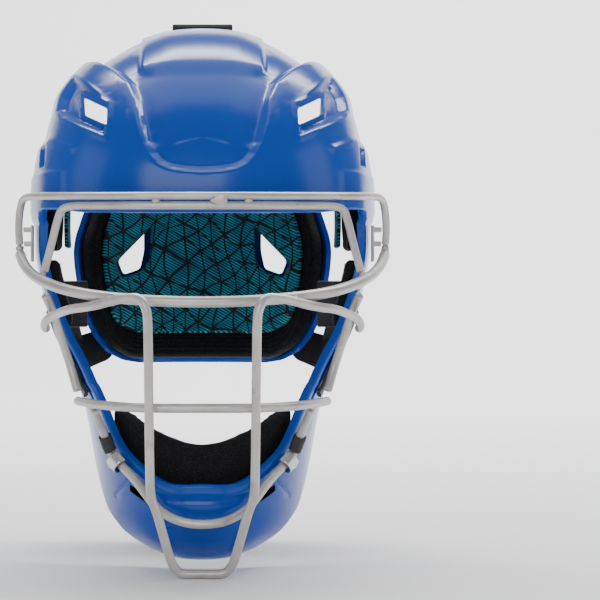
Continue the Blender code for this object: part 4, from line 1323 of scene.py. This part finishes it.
@dataclass
class Cage:
    """The bent and welded wires, and what holds them to the shell."""
    wire: float = 2.6
    brow_wire: float = 2.3
    eye_wire: float = 3.15
    weld: float = 2.0
    spacing: float = 1.6
    clip_at: float = 4.0
    clip_foot: float = 2.0

    def build(self, finishes: Finishes) -> None:
        """Make the cage and its fixings."""
        runs = [("upper_brow_bar", mirrored(UPPER_BROW_HALF), self.brow_wire),
                ("lower_brow_bar", mirrored(LOWER_BROW_HALF), self.brow_wire),
                ("eye_bar", mirrored(EYE_HALF), self.eye_wire),
                ("mouth_bar", mirrored(MOUTH_HALF), self.wire),
                ("centre_loop_wire", mirrored(list(reversed(SHOULDER_HALF))), self.wire),
                ("jaw_wire", mirrored(JAW_HALF), self.wire)]
        runs += [("side_wire_" + name, flip(SIDE_WIRE, side), self.wire) for name, side in SIDES]
        paths = {}
        for name, points, radius in runs:
            paths[name] = (even_path(points, self.spacing), radius)
            wire = sweep("coated_" + name, paths[name][0], radius, finishes.wire)
            declare(wire, SHELL, Slot.WIRE, name)
        self.build_welds(paths, finishes)
        self.build_tab(finishes)
        for name, side in SIDES:
            self.build_bracket(name, side, finishes)
            self.build_bumper(name, side, finishes)
            self.build_clip(name, side, finishes)

    def build_welds(self, paths: dict[str, tuple[Array, float]], finishes: Finishes) -> None:
        """Make a bead of weld wherever two wires meet."""
        beads, names = [], list(paths)
        for index, first in enumerate(names):
            for second in names[index + 1:]:
                (one, one_radius), (two, two_radius) = paths[first], paths[second]
                gap = np.linalg.norm(one[:, None] - two[None], axis=2)
                near = gap - one_radius - two_radius < 0.9
                for sign in (-1.0, 1.0):
                    spots = np.argwhere(near & (one[:, 0] * sign >= 0.0)[:, None])
                    if not len(spots):
                        continue
                    spot = spots[np.argmin(gap[spots[:, 0], spots[:, 1]])]
                    middle = (one[spot[0]] * two_radius
                              + two[spot[1]] * one_radius) / (one_radius + two_radius)
                    along = one[min(spot[0] + 1, len(one) - 1)] - one[max(spot[0] - 1, 0)]
                    beads.append(self.bead(middle, along, one[spot[0]] - two[spot[1]]))
        welds = mesh_piece("weld_beads", join(beads), finishes.wire, 60.0)
        declare(welds, SHELL, Slot.WIRE)

    def bead(self, middle: Array, along: Array, between: Array) -> bmesh.types.BMesh:
        """One lumpy bead of weld, flat across the gap between two wires."""
        lump = bmesh.new()
        bmesh.ops.create_icosphere(lump, subdivisions=3, radius=self.weld * MM)
        for vert in lump.verts:
            vert.co *= 1.0 + 0.07 * math.sin(vert.co.x * 2600.0
                                             + middle[2]) * math.cos(vert.co.z * 2100.0)
        bmesh.ops.scale(lump, vec=(1.25, 1.25, 0.85), verts=lump.verts)
        turn = square_axes(along, np.cross(between, along))
        return moved(lump, middle, turn)

    def build_tab(self, finishes: Finishes) -> None:
        """Make the small folded plate welded across the brow bars."""
        outline = [(4.0, 55.9), (10.5, 59.4), (14.0, 59.4), (14.0, 53.0), (11.0, 52.2)]
        solid = prism(outline, -131.6, -130.1, 0.9)
        tab = mesh_piece("coated_brow_tab", solid, finishes.wire)
        soften = tab.modifiers.new("edges", "BEVEL")
        soften.width, soften.segments = 0.3 * MM, 2
        settle(tab)
        declare(tab, SHELL, Slot.WIRE, "brow_weld_tab")

    def build_bracket(self, name: str, side: float, finishes: Finishes) -> None:
        """Make a side bracket: a thin plate with two rungs."""
        profile = [(101.8, 23.0), (103.2, 23.0), (103.2, 32.3), (107.3, 32.3), (107.3, 35.3),
                   (103.2, 35.3), (103.2, 40.8), (107.6, 40.8), (107.6, 43.8), (103.2, 43.8),
                   (103.2, 45.0), (101.8, 45.0)]
        bracket = mesh_piece("folded_bracket_" + name, prism(sided(profile, side), -51.0, -42.0),
                             finishes.wire)
        soften = bracket.modifiers.new("edges", "BEVEL")
        soften.width, soften.segments, soften.limit_method = 0.45 * MM, 3, "ANGLE"
        settle(bracket)
        declare(bracket, SHELL, Slot.WIRE, "upper_bracket_" + name)

    def build_bumper(self, name: str, side: float, finishes: Finishes) -> None:
        """Make the rubber strip on the cheek behind the side wire."""
        u = np.linspace(7.4, 9.9, 40) / (len(OPENING_EDGE) - 1) / 2.0
        u = u if side > 0 else 1.0 - u
        inner, outer = loop_direction(OPENING_EDGE, u), loop_direction(REAR_RIM, u)
        part = np.ones(len(u))
        middle = FORM.beside(turn_between(inner, outer, part * 0.13), 2.2)
        across = FORM.point(turn_between(inner, outer,
                                         part * 0.2)) - FORM.point(turn_between(inner, outer,
                                                                                part * 0.06))
        strip = ribbon("rubber_bumper_" + name, middle, across, 8.0, 3.0, finishes.rubber,
                       ribs=0.25, pitch=3.0)
        declare(strip, SHELL, Slot.RUBBER, "cage_bumper_" + name)

    def build_clip(self, name: str, side: float, finishes: Finishes) -> None:
        """Make the bent clip, its screw and the sleeve on the jaw wire."""
        rows = np.array(flip(JAW_HALF, side))
        middle = cubic(rows, np.array([self.clip_at]))[0]
        tangent = unit(np.diff(cubic(rows, np.array([self.clip_at - 0.1, self.clip_at + 0.1])),
                               axis=0))[0]
        normal = FORM.normal(unit(middle[None]))[0]
        normal = unit((normal - tangent * (normal @ tangent))[None])[0]
        out = np.cross(normal, tangent) * -side
        reach = self.wire + 2.2
        route = [FORM.beside_point(middle + out * 13.5, self.clip_foot),
                 FORM.beside_point(middle + out * 8.5, self.clip_foot),
                 FORM.beside_point(middle + out * (reach + 1.0), self.clip_foot + 1.6),
                 middle + out * reach, middle + (out + normal) * reach * 0.74,
                 middle + normal * reach,
                 middle + (normal - out) * reach * 0.74, middle - out * reach]
        path = even_path(route, 0.8)
        clip = ribbon("bent_clip_" + name, path, repeated(tangent, len(path)), 8.0, 1.2,
                      finishes.nickel, ribs=0.0)
        declare(clip, SHELL, Slot.NICKEL, "lower_clip_" + name)
        seat = middle + out * 10.8
        axis = FORM.normal(unit(seat[None]))[0]
        head = turned([(0.0, -1.0), (3.0, -1.0), (3.1, -0.3), (2.7, 0.5), (1.7, 1.0), (1.45, 0.9),
                       (1.3, -0.1), (0.0, -0.1)], FORM.beside_point(seat, self.clip_foot + 2.5),
                      axis)
        screw = mesh_piece("round_head_screw_" + name, head, finishes.nickel, 30.0)
        declare(screw, SHELL, Slot.NICKEL, "clip_screw_" + name)
        stations = cubic(rows, np.linspace(4.9, 5.6, 40))
        sleeve = sleeve_wall(stations, self.wire + 0.45, self.wire + 1.25, 0.2)
        piece = mesh_piece("ribbed_sleeve_" + name, sleeve, finishes.rubber, 50.0)
        declare(piece, SHELL, Slot.RUBBER, "wire_sleeve_" + name)


def turned(profile: Sequence[tuple[float, float]], centre: Array, axis: Array) -> bmesh.types.BMesh:
    """Spin a profile of (radius, height) rows, in millimetres, about an axis."""
    shape = bmesh.new()
    verts = [shape.verts.new((radius * MM, 0.0, height * MM)) for radius, height in profile]
    edges = [shape.edges.new(pair) for pair in zip(verts, verts[1:])]
    bmesh.ops.spin(shape, geom=verts + edges, axis=(0, 0, 1), cent=(0, 0, 0), angle=2.0 * math.pi,
                   steps=28, use_merge=True)
    bmesh.ops.remove_doubles(shape, verts=shape.verts, dist=0.000002)
    bmesh.ops.recalc_face_normals(shape, faces=shape.faces)
    turn = Vector((0, 0, 1)).rotation_difference(Vector(axis)).to_matrix()
    return moved(shape, centre, turn)


def frames(path: Array, across: Array) -> tuple[Array, Array]:
    """Unit width directions square to a path, and the normals."""
    ahead = unit(np.gradient(path, axis=0))
    side = unit(across - ahead * (across * ahead).sum(axis=1, keepdims=True))
    return side, np.cross(ahead, side)


def ribbon(name: str, path: Array, across: Array, width: float, thickness: float,
           material: bpy.types.Material, ribs: float = 0.1, pitch: float = 2.1) -> bpy.types.Object:
    """A closed flat band with round edges and fine cross ribs.

    Args:
        name: The piece's name.
        path: Evenly spaced points in millimetres.
        across: The width direction at each point.
        width: The band's width.
        thickness: The band's thickness.
        material: Its finish.
        ribs: Height of the ribs in millimetres.
        pitch: Distance between ribs.

    Returns:
        The piece.
    """
    side, normal = frames(path, across)
    run = run_lengths(path)
    columns, rows = 40, len(path) - 1
    round_edge = thickness / 2.0
    flat_half = width / 2.0 - round_edge

    def section(u: Array) -> tuple[Array, Array]:
        """Width and height round the band's section."""
        turn = np.where(u < 0.5, 0.5 - (u - 0.4) / 0.1, -0.5 - (u - 0.9) / 0.1) * math.pi
        a = np.select([u < 0.4, u < 0.5, u < 0.9],
                      [-flat_half + 5.0 * u * flat_half, flat_half + round_edge * np.cos(turn),
                       flat_half - 5.0 * (u - 0.5) * flat_half],
                      -flat_half + round_edge * np.cos(turn))
        b = np.select([u < 0.4, u < 0.5, u < 0.9], [u * 0.0 + 1.0, np.sin(turn), u * 0.0 - 1.0],
                      np.sin(turn))
        return a, b * round_edge

    def place(u: Array, v: Array) -> Array:
        """Points of the band's skin."""
        index = np.rint(v * rows).astype(int)
        a, b = section(u)
        lift = ribs * (np.cos(2.0 * math.pi * run[index] / pitch)
                       - 1.0) * np.sign(b) * (np.abs(b) > 0.9 * round_edge)
        return path[index] + side[index] * a[:, None] + normal[index] * (b + lift)[:, None]

    def flat(u: Array, v: Array) -> Array:
        """Flat coordinates: across, along, face."""
        a, b = section(u)
        return np.stack([a, run[np.rint(v * rows).astype(int)], b], axis=1)

    sheet = grid(columns, rows)
    lay(sheet, place, lambda points: points, flat, wrap=True)
    bmesh.ops.holes_fill(sheet, edges=[edge for edge in sheet.edges if edge.is_boundary], sides=0)
    bmesh.ops.recalc_face_normals(sheet, faces=sheet.faces)
    return mesh_piece(name, sheet, material, 55.0)


def sleeve_wall(path: Array, inner: float, outer: float, rib: float) -> bmesh.types.BMesh:
    """A closed ribbed tube wall along points in millimetres."""
    side, normal = frames(path, repeated((0.0, 0.3, 1.0), len(path)))
    rows = 2 * len(path) + 1
    order = np.concatenate([np.arange(len(path)), np.arange(len(path))[::-1], [0, 0]])

    def place(u: Array, v: Array) -> Array:
        """Points of the outer skin, then the inner one, then back."""
        step = np.rint(v * rows).astype(int)
        index = order[step]
        radius = np.where((step < len(path)) | (step == rows), outer - rib * (index % 4 == 0),
                          inner)
        angle = 2.0 * math.pi * u
        return path[index] + (side[index] * np.cos(angle)[:, None]
                              + normal[index] * np.sin(angle)[:, None]) * radius[:, None]

    sheet = grid(20, rows)
    lay(sheet, place, lambda points: points, wrap=True)
    bmesh.ops.dissolve_degenerate(sheet, dist=0.000002, edges=sheet.edges)
    bmesh.ops.remove_doubles(sheet, verts=sheet.verts, dist=0.00002)
    bmesh.ops.recalc_face_normals(sheet, faces=sheet.faces)
    return sheet


# --- back plate ---

PLATE_OUTLINE = [(118, 30), (114, 42), (105, 52), (90, 63), (70, 74), (48, 82), (32, 85),
                 (10, 83), (-10, 79), (-24, 73), (-34, 65), (-40, 54), (-42, 44)]
PLATE_WIDTH = [(118, 76), (105, 83), (90, 89), (70, 93), (48, 94), (-20, 92), (-42, 88)]
PLATE_DEPTH = [(118, 86), (105, 95), (90, 102), (70, 109), (48, 113), (10, 113), (-19, 108),
               (-42, 100)]


def plate_y(x: Array, z: Array) -> Array:
    """Outer face of the back plate over points in X and Z."""
    width, depth = read_table(PLATE_WIDTH, z), read_table(PLATE_DEPTH, z)
    return depth * np.maximum(0.01, 1.0 - np.abs(x / width) ** 2.2) ** (1.0 / 2.2)


def plate_points(x: Array, z: Array, offset: Array | float) -> tuple[Array, Array]:
    """Points beside the plate's outer face, and the normals there."""
    x, z = np.broadcast_arrays(np.atleast_1d(np.asarray(x, float)),
                               np.atleast_1d(np.asarray(z, float)))
    here = np.stack([x, plate_y(x, z), z], axis=1)
    right = np.stack([x + 0.5, plate_y(x + 0.5, z), z], axis=1) - here
    up = np.stack([x, plate_y(x, z + 0.5), z + 0.5], axis=1) - here
    normal = unit(np.cross(up, right))
    return here + normal * np.reshape(np.broadcast_to(offset, x.shape), (-1, 1)), normal


@dataclass
class BackPlate:
    """The rear plate with its foam rim and printed liner."""
    top: float = 118.0
    bottom: float = -42.0
    wall: float = 3.0
    foam_wall: float = 9.0
    liner_wall: float = 3.5
    vent: list = field(default_factory=lambda: [(39.5, 48.5), (56.5, 26.0), (53.0, 17.0),
                                                (42.0, 21.0),
                                                (39.5, 33.0)])
    inner_vent: list = field(default_factory=lambda: [(34.5, 49.5), (58.0, 24.5), (53.5, 14.5),
                                                      (41.0, 19.0),
                                                      (35.0, 27.0)])

    def spread(self, cut_back: tuple[float, float, float], offset: float,
               relief: Callable[[Array, Array], Array] | None = None) -> Place:
        """The plate's outline cut back, at an offset from its outer face."""
        def place(u: Array, v: Array) -> Array:
            """Points of the layer."""
            x, z = self.spot(u, v, cut_back)
            lift = offset + (relief(x, z) if relief else 0.0)
            return plate_points(x, z, lift)[0]
        return place

    def spot(self, u: Array, v: Array, cut_back: tuple[float, float, float]) -> tuple[Array, Array]:
        """X and Z of a layer's grid.

        Args:
            u: Place across.
            v: Place upwards.
            cut_back: Inset of the outline, inset of the lower edge, and radius of the lower corners.

        Returns:
            X and Z in millimetres.
        """
        inset, low_inset, corner = cut_back
        low = self.bottom + low_inset
        z = low + (self.top - inset - low) * v
        near = np.clip(1.0 - (z - low) / corner, 0.0, 1.0)
        limit = read_table(PLATE_OUTLINE, z) - inset - corner * (1.0 - np.sqrt(1.0 - near * near))
        return (2.0 * u - 1.0) * limit, z

    def edge_distance(self, x: Array, z: Array) -> Array:
        """Distance from the plate's outline, about."""
        beside = (read_table(PLATE_OUTLINE, z) - np.abs(x)) * 0.9
        return np.maximum(np.minimum(np.minimum(beside, z - self.bottom), self.top - z), 0.0)

    def plate_relief(self, x: Array, z: Array) -> Array:
        """Grooves beside the webbing, low side creases, the bottom band and a round edge."""
        x = np.abs(x)
        edge = self.edge_distance(x, z)
        grooves = np.zeros(len(x))
        for path, wide, deep in (([(21.5, 112), (23.5, 84), (33.0, 61), (64.0, 46)], 3.4, 1.5),
                                 ([(30.0, 108), (37.0, 78), (70.0, 68)], 2.2, 0.7),
                                 ([(26.0, -12), (47.0, -31), (66.0, -27)], 2.4, 1.0),
                                 ([(0.0, -28), (30.0, -30), (48.0, -36)], 2.2, 0.9)):
            grooves = np.maximum(grooves,
                                 deep * np.maximum(1.0 - distance_to(x, z, path) / wide, 0.0))
        near = np.clip(1.3 - edge, 0.0, 1.3)
        vent = 0.7 * (1.0 - ramp((-signed_inside(x, z, self.vent) - 1.4) / 1.2))
        return vent - grooves - (1.3 - np.sqrt(np.maximum(1.69 - near ** 2, 0.0)))

    def layer(self, name: str, node: str, cut_back: tuple[float, float, float], offset: float,
              wall: float, size: tuple[int, int],
              material: bpy.types.Material, slot: Slot, hole: Sequence[tuple[float, float]],
              relief: Callable[[Array, Array], Array] | None = None,
              round_edge: float = 0.0) -> bpy.types.Object:
        """Build one layer with its two vents."""
        sheet = grid(*size)

        def cloth(u: Array, v: Array) -> Array:
            """Flat coordinates of a layer."""
            x, z = self.spot(u, v, cut_back)
            return np.stack([x * 1.12, z, np.zeros(len(x))], axis=1)

        lay(sheet, self.spread(cut_back, offset, relief), backwards, cloth)
        thicken(sheet, wall)
        if round_edge:
            round_edges(sheet, corner_edges(sheet), round_edge, 4)
        piece = mesh_piece(name, sheet, material, 45.0)
        for _, side in SIDES:
            cut(piece, prism(sided(hole, side), 50.0, 130.0, 2.2))
        settle(piece, 45.0)
        return declare(piece, PLATE, slot, node)

    def build(self, finishes: Finishes) -> None:
        """Make the three layers and the rim's ribs."""
        self.layer("moulded_back_plate", "back_plate", (0.0, 0.0, 1.0), 0.0, self.wall, (190, 180),
                   finishes.gloss,
                   Slot.GLOSS, self.vent, self.plate_relief)
        foam = self.layer("back_plate_foam_pad", "back_plate_foam", (1.5, 1.5, 1.0),
                          -(self.wall + 1.6), self.foam_wall,
                          (90, 90), finishes.foam, Slot.FOAM, self.inner_vent, None, 3.2)
        liner = self.layer("printed_back_liner", "back_plate_liner", (6.0, 14.0, 20.0),
                           -(self.wall + self.foam_wall + 2.8), self.liner_wall, (80, 80),
                           finishes.liner, Slot.LINER, self.inner_vent, None, 1.3)
        self.build_rim_ribs(finishes)

    def build_rim_ribs(self, finishes: Finishes) -> None:
        """Make the parallel cords moulded into the foam's inner rim."""
        depth = self.wall + 1.6 + self.foam_wall
        for number, (inset, low) in enumerate(((2.6, 5.6), (3.6, 8.0), (4.6, 10.4), (5.4, 13.0))):
            cut_back = (inset, low, 7.0 + 3.4 * number)
            heights = np.linspace(0.0, 0.62, 70) ** 1.4
            right = self.spread(cut_back, -(depth + 0.1))(np.ones(70), heights)
            across = np.linspace(0.0, 1.0, 60)[1:-1]
            low_run = self.spread(cut_back, -(depth + 0.1))(across, np.zeros(58))
            path = np.concatenate([right[::-1] * np.array([-1.0, 1.0, 1.0]), low_run, right])
            cord = sweep(f"foam_rim_rib_{number}", spaced(path, 0.05), 0.7, finishes.foam, 8)
            declare(cord, PLATE, Slot.FOAM)


# --- straps ---

@dataclass
class Straps:
    """The crown webbing, patch, elastic legs, rings and the anchor bands."""
    webbing: tuple = (38.0, 1.6)
    leg: tuple = (31.0, 1.5)
    leg_top: tuple = (20.5, 22.0)
    ring_at: tuple = (60.5, -19.5)
    leg_lift: float = 3.2
    tail_lift: float = 6.0
    ring_wire: float = 1.25
    ring_half: tuple = (16.0, 2.2)
    ring_corner: float = 2.0
    jaw_width: float = 22.0
    ear_width: float = 18.0
    weave_ribs: tuple = (0.08, 1.6)

    def leg_frame(self, part: Array, side: float, lift: Array | float) -> tuple[Array, Array,
                                                                                Array, Array]:
        """Points, directions ahead and across, and normals on a leg's line over the plate."""
        part = np.atleast_1d(np.asarray(part, float))
        run = np.array([self.ring_at[0] - self.leg_top[0], self.ring_at[1] - self.leg_top[1]])
        x, z = self.leg_top[0] + run[0] * part, self.leg_top[1] + run[1] * part
        points, normal = plate_points(x * side, z, lift)
        ahead = np.array([[run[0] * side, 0.0, run[1]]])
        ahead = unit(ahead - normal * (normal * ahead).sum(axis=1, keepdims=True))
        return points, ahead, unit(np.cross(normal, ahead)), normal

    def build(self, finishes: Finishes) -> None:
        """Make every strap."""
        self.build_crown(finishes)
        self.build_patch(finishes)
        for name, side in SIDES:
            self.build_leg(name, side, finishes)
            self.build_ring(name, side, finishes)
            self.build_bands(name, side, finishes)
            self.build_anchor(name, side, finishes)

    def build_crown(self, finishes: Finishes) -> None:
        """Make the loop over the shell and the webbing down the plate as one band."""
        loop = [(0, 13.0, 156), (0, 13.9, 168), (0, 17.0, 173.3), (0, 21.0, 173.9),
                (0, 25.2, 171.5),
                (0, 26.2, 164), (0, 25.4, 150), (0, 27.5, 141.5), (0, 34.0, 138.2),
                (0, 44.0, 137.4),
                (0, 47.2, 136.4), (0, 62.0, 131.5), (0, 78.0, 124.8)]
        down = plate_points(0.0, np.array([118.0, 108.0, 96.0, 84.0, 74.0, 64.5]), 3.0)[0]
        path = even_path([*loop, *down], 0.7)
        across = repeated((1.0, 0.0, 0.0), len(path))
        band = ribbon("crown_webbing_band", path, across, *self.webbing, finishes.webbing, 0.13,
                      2.1)
        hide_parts("crown_loop", "crown_webbing")
        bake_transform(band)
        LOG.info("crown webbing bends between the shell and the back plate")

    def build_patch(self, finishes: Finishes) -> None:
        """Make the sewn patch over the meeting of webbing and legs."""
        ends = plate_points(0.0, np.array([62.0, 18.0]), 5.6)[0]
        up = ends[0] - ends[1]
        centre = ends.mean(axis=0)
        turn = square_axes(np.array([1.0, 0.0, 0.0]), up)
        outline = [(-20.75, -22.0), (20.75, -22.0), (20.75, 22.0), (-20.75, 22.0)]
        solid = prism(outline, -1.2, 1.2, 4.0)
        rims = [edge for edge in corner_edges(solid)
                if abs(edge.verts[0].co.y - edge.verts[1].co.y) < 0.5 * MM]
        round_edges(solid, rims, 0.5, 3)
        stand = Matrix((Vector((1, 0, 0)), Vector((0, 0, -1)), Vector((0, 1, 0)))).transposed()
        bmesh.ops.transform(solid, matrix=stand.to_4x4(), verts=solid.verts)
        patch = mesh_piece("sewn_patch", moved(solid, centre, turn), finishes.patch, 35.0)
        declare(patch, PLATE, Slot.PATCH, "strap_patch")
        corner = np.array([(-18.3, -19.6), (18.3, -19.6), (18.3, 19.6), (-18.3, 19.6),
                           (-18.3, -19.6)])
        steps = np.linspace(0.0, 4.0, 120)
        flat = np.stack([np.interp(steps, np.arange(5), corner[:, axis]) for axis in range(2)],
                        axis=1)
        x_axis, y_axis, z_axis = (np.array(turn.col[index]) for index in range(3))
        face = z_axis if z_axis[1] > 0.0 else -z_axis
        path = centre + flat[:, :1] * x_axis + flat[:, 1:] * y_axis + face * 1.22
        seam = mesh_piece("patch_stitching", stitches(path, repeated(face, len(path))),
                          finishes.thread, 60.0)
        declare(seam, PLATE, Slot.PATCH)

    def build_leg(self, name: str, side: float, finishes: Finishes) -> None:
        """Make an elastic leg with its turn round the ring, and its tail."""
        parts = [0.16, 0.35, 0.55, 0.72, 0.84, 0.925, 0.950, 0.962, 0.950, 0.925, 0.885]
        lifts = [3.2, 3.2, 3.2, 3.1, 2.6, 2.1, 2.7, 4.2, 5.7, 6.3, 6.3]
        points, _, across, _ = self.leg_frame(parts, side, np.array(lifts))
        path = even_path(points, 0.7)
        wide = repeated(across.mean(axis=0), len(path))
        band = ribbon("elastic_leg_" + name, path, wide, *self.leg, finishes.webbing,
                      *self.weave_ribs)
        declare(band, PLATE, Slot.WEBBING, "strap_leg_" + name)
        points, _, across, _ = self.leg_frame(np.linspace(0.868, 0.34, 30), side, self.tail_lift)
        path = even_path(points, 0.7)
        wide = repeated(across.mean(axis=0), len(path))
        tail = ribbon("folded_tail_" + name, path, wide, *self.leg, finishes.webbing,
                      *self.weave_ribs)
        declare(tail, "tail_" + name, Slot.WEBBING, "strap_tail_" + name)
        rows = self.leg_frame(np.full(30, 0.40), side, self.tail_lift + 0.8)
        spread = np.linspace(-13.5, 13.5, 30)[:, None]
        seam = stitches(rows[0] + rows[2] * spread, rows[3])
        thread = mesh_piece("tail_stitching_" + name, seam, finishes.thread, 60.0)
        declare(thread, "tail_" + name, Slot.WEBBING)

    def ring_frame(self, side: float) -> tuple[Array, Array, Array]:
        """The ring's middle, and its directions ahead and across."""
        centre, ahead, across, _ = self.leg_frame(1.0, side, self.leg_lift + 1.0)
        return centre[0], ahead[0], across[0]

    def build_ring(self, name: str, side: float, finishes: Finishes) -> None:
        """Make the flat wire ring."""
        centre, ahead, across = self.ring_frame(side)
        loop = []
        for turn in range(4):
            for step in range(7):
                angle = math.radians(90.0 * turn + 15.0 * step)
                a_sign, b_sign = 1 if turn in (0, 3) else -1, 1 if turn in (0, 1) else -1
                a = a_sign * self.ring_half[0] + self.ring_corner * math.cos(angle)
                b = b_sign * self.ring_half[1] + self.ring_corner * math.sin(angle)
                loop.append(centre + across * a + ahead * b)
        ring = sweep("wire_ring_" + name, np.array(loop), self.ring_wire, finishes.nickel, 16,
                     closed=True)
        declare(ring, PLATE, Slot.NICKEL, "strap_ring_" + name)

    def build_bands(self, name: str, side: float, finishes: Finishes) -> None:
        """Make the bands from the ring and the plate's edge to the shell."""
        centre, ahead, across = self.ring_frame(side)
        up = np.array([side * 0.36, 0.0, 0.93])
        tilt = across * -side

        def wall_point(y: float, z: float) -> Array:
            """A point inside the shell's jaw wall."""
            return FORM.beside_point((side * 79.0, y, z), -8.0)

        route = [centre + ahead * 7.4, centre + ahead * 13.0 - np.array([0.0, 1.5, 0.0])]
        route += [np.array(point) for point in flip([(77.5, 73.0, -34.0), (82.5, 55.0, -37.0),
                                                     (81.0, 36.0, -40.0)], side)]
        route += [wall_point(16.0, -43.5), wall_point(5.0, -43.5), wall_point(-5.0, -43.5)]
        middle = tilt * 0.5 + up * 0.5
        turns = [tilt, tilt, middle, up, up, up, up, up]
        path = smooth_path(route, 160)
        wide = smooth_path(turns, 160)
        band = ribbon("jaw_band_" + name, path, wide, self.jaw_width, self.leg[1],
                      finishes.webbing, *self.weave_ribs)
        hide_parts("ring_strap_" + name, "jaw_anchor_strap_" + name)
        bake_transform(band)
        route = flip([(81.5, 73.0, -18.5), (87.5, 58.0, -15.5), (90.5, 42.0, -12.0),
                      (91.0, 30.0, -10.0), (90.5, 20.0, -9.0)], side)
        path = even_path(route, 0.6)
        ear = ribbon("ear_band_" + name, path, repeated(up, len(path)), self.ear_width, self.leg[1],
                     finishes.webbing, *self.weave_ribs)
        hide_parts("ear_anchor_strap_" + name)
        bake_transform(ear)
        LOG.info("%s bands bend between the shell and the back plate", name)

    def build_anchor(self, name: str, side: float, finishes: Finishes) -> None:
        """Make the pad and the rivet that hold the jaw band."""
        seat = unit(np.array([[side * 79.0, 0.0, -43.5]]))
        normal = FORM.normal(seat)[0]
        turn = square_axes(np.array([0.0, 1.0, 0.0]), np.cross(normal, np.array([0.0, 1.0, 0.0])))
        pad = moved(box((14.0, 20.0, 1.8), 0.7, 4), FORM.beside(seat, -5.4)[0], turn)
        declare(mesh_piece("moulded_anchor_pad_" + name, pad, finishes.rubber), SHELL, Slot.RUBBER,
                "anchor_pad_" + name)
        head = turned([(0.0, -0.7), (3.8, -0.7), (4.0, -0.4), (3.7, 0.25), (2.6, 0.62), (1.9, 0.7),
                       (1.6, 0.35), (0.0, 0.3)], FORM.beside(seat, -9.9)[0], -normal)
        declare(mesh_piece("domed_rivet_" + name, head, finishes.nickel, 30.0), SHELL, Slot.NICKEL,
                "anchor_rivet_" + name)


# --- stage ---

@dataclass
class Studio:
    """The pale sweep, the lights and the camera."""
    lowest: float = 0.0

    def build(self) -> None:
        """Make the stage."""
        self.build_sweep()
        self.build_camera()
        self.light("overhead_softbox", (0.0, 0.35, 1.75), (0.0, 0.0, 0.05), 1.9, 1.5, 15.0)
        self.light("left_softbox", (-1.9, -0.5, 0.5), (0.0, 0.0, 0.0), 0.9, 1.6, 4.0)
        self.light("right_softbox", (1.9, -0.5, 0.5), (0.0, 0.0, 0.0), 0.9, 1.6, 5.0)
        self.light("front_softbox", (-0.5, -2.6, 1.0), (0.0, 0.0, 0.0), 2.0, 1.2, 22.0)
        self.light("wall_wash", (0.6, 1.3, 2.6), (0.6, 3.0, 0.4), 4.0, 1.0, 250.0)
        world = bpy.data.worlds.new("pale_room")
        world.use_nodes = True
        world.node_tree.nodes["Background"].inputs[0].default_value = colour(0.95, 0.97, 1.0)
        world.node_tree.nodes["Background"].inputs[1].default_value = 0.36
        bpy.context.scene.world = world

    def build_sweep(self) -> None:
        """Make a seamless floor and back wall."""
        sheet = grid(2, 60)
        for vert in sheet.verts:
            part = vert.co.y
            run = -3.0 + 8.4 * part
            rise = max(0.0, run - 2.2)
            bend = min(rise / 1.2, math.pi / 2.0)
            y = min(run, 2.2) + 1.2 * math.sin(bend)
            z = 1.2 * (1.0 - math.cos(bend)) + max(0.0, rise - 1.2 * math.pi / 2.0)
            vert.co = Vector(((vert.co.x - 0.5) * 9.0, y, z + self.lowest))
        sheet.normal_update()
        graph = Graph("pale_studio_sweep")
        cloud = graph.noise(graph.place(), 1.3, 2.0)
        paper = graph.finish(Base_Color=graph.blend(cloud, colour(0.86, 0.86, 0.86),
                                                    colour(0.90, 0.90, 0.90)),
                             Roughness=0.9, Specular_IOR_Level=0.1)
        mesh_piece("studio_sweep", sheet, paper)

    @staticmethod
    def build_camera() -> None:
        """Place the camera level with the head's middle, in front."""
        data = bpy.data.cameras.new("front_camera")
        data.lens, data.sensor_width, data.shift_x, data.shift_y = 124.8, 36.0, 0.1625, 0.0
        data.clip_start, data.clip_end = 0.05, 50.0
        camera = bpy.data.objects.new("front_camera", data)
        camera.location = (0.0, -1.3, 0.0)
        camera.rotation_euler = (math.pi / 2.0, 0.0, 0.0)
        bpy.context.scene.collection.objects.link(camera)
        bpy.context.scene.camera = camera

    @staticmethod
    def light(name: str, place: tuple, aim: tuple, wide: float, tall: float, power: float) -> None:
        """Add one soft area light."""
        data = bpy.data.lights.new(name, "AREA")
        data.shape, data.size, data.size_y, data.energy = "RECTANGLE", wide, tall, power
        lamp = bpy.data.objects.new(name, data)
        lamp.location = place
        lamp.rotation_euler = (Vector(aim) - Vector(place)).to_track_quat("-Z", "Y").to_euler()
        bpy.context.scene.collection.objects.link(lamp)


def main() -> None:
    """Build the mask round its frame."""
    logging.basicConfig(level=logging.INFO, format="%(message)s")
    finishes = Finishes()
    Studio(lowest=CAD_BOX[0][2]).build()
    FrontShell().build(finishes)
    Pads().build(finishes)
    Cage().build(finishes)
    BackPlate().build(finishes)
    Straps().build(finishes)


if __name__ == "__main__":
    main()
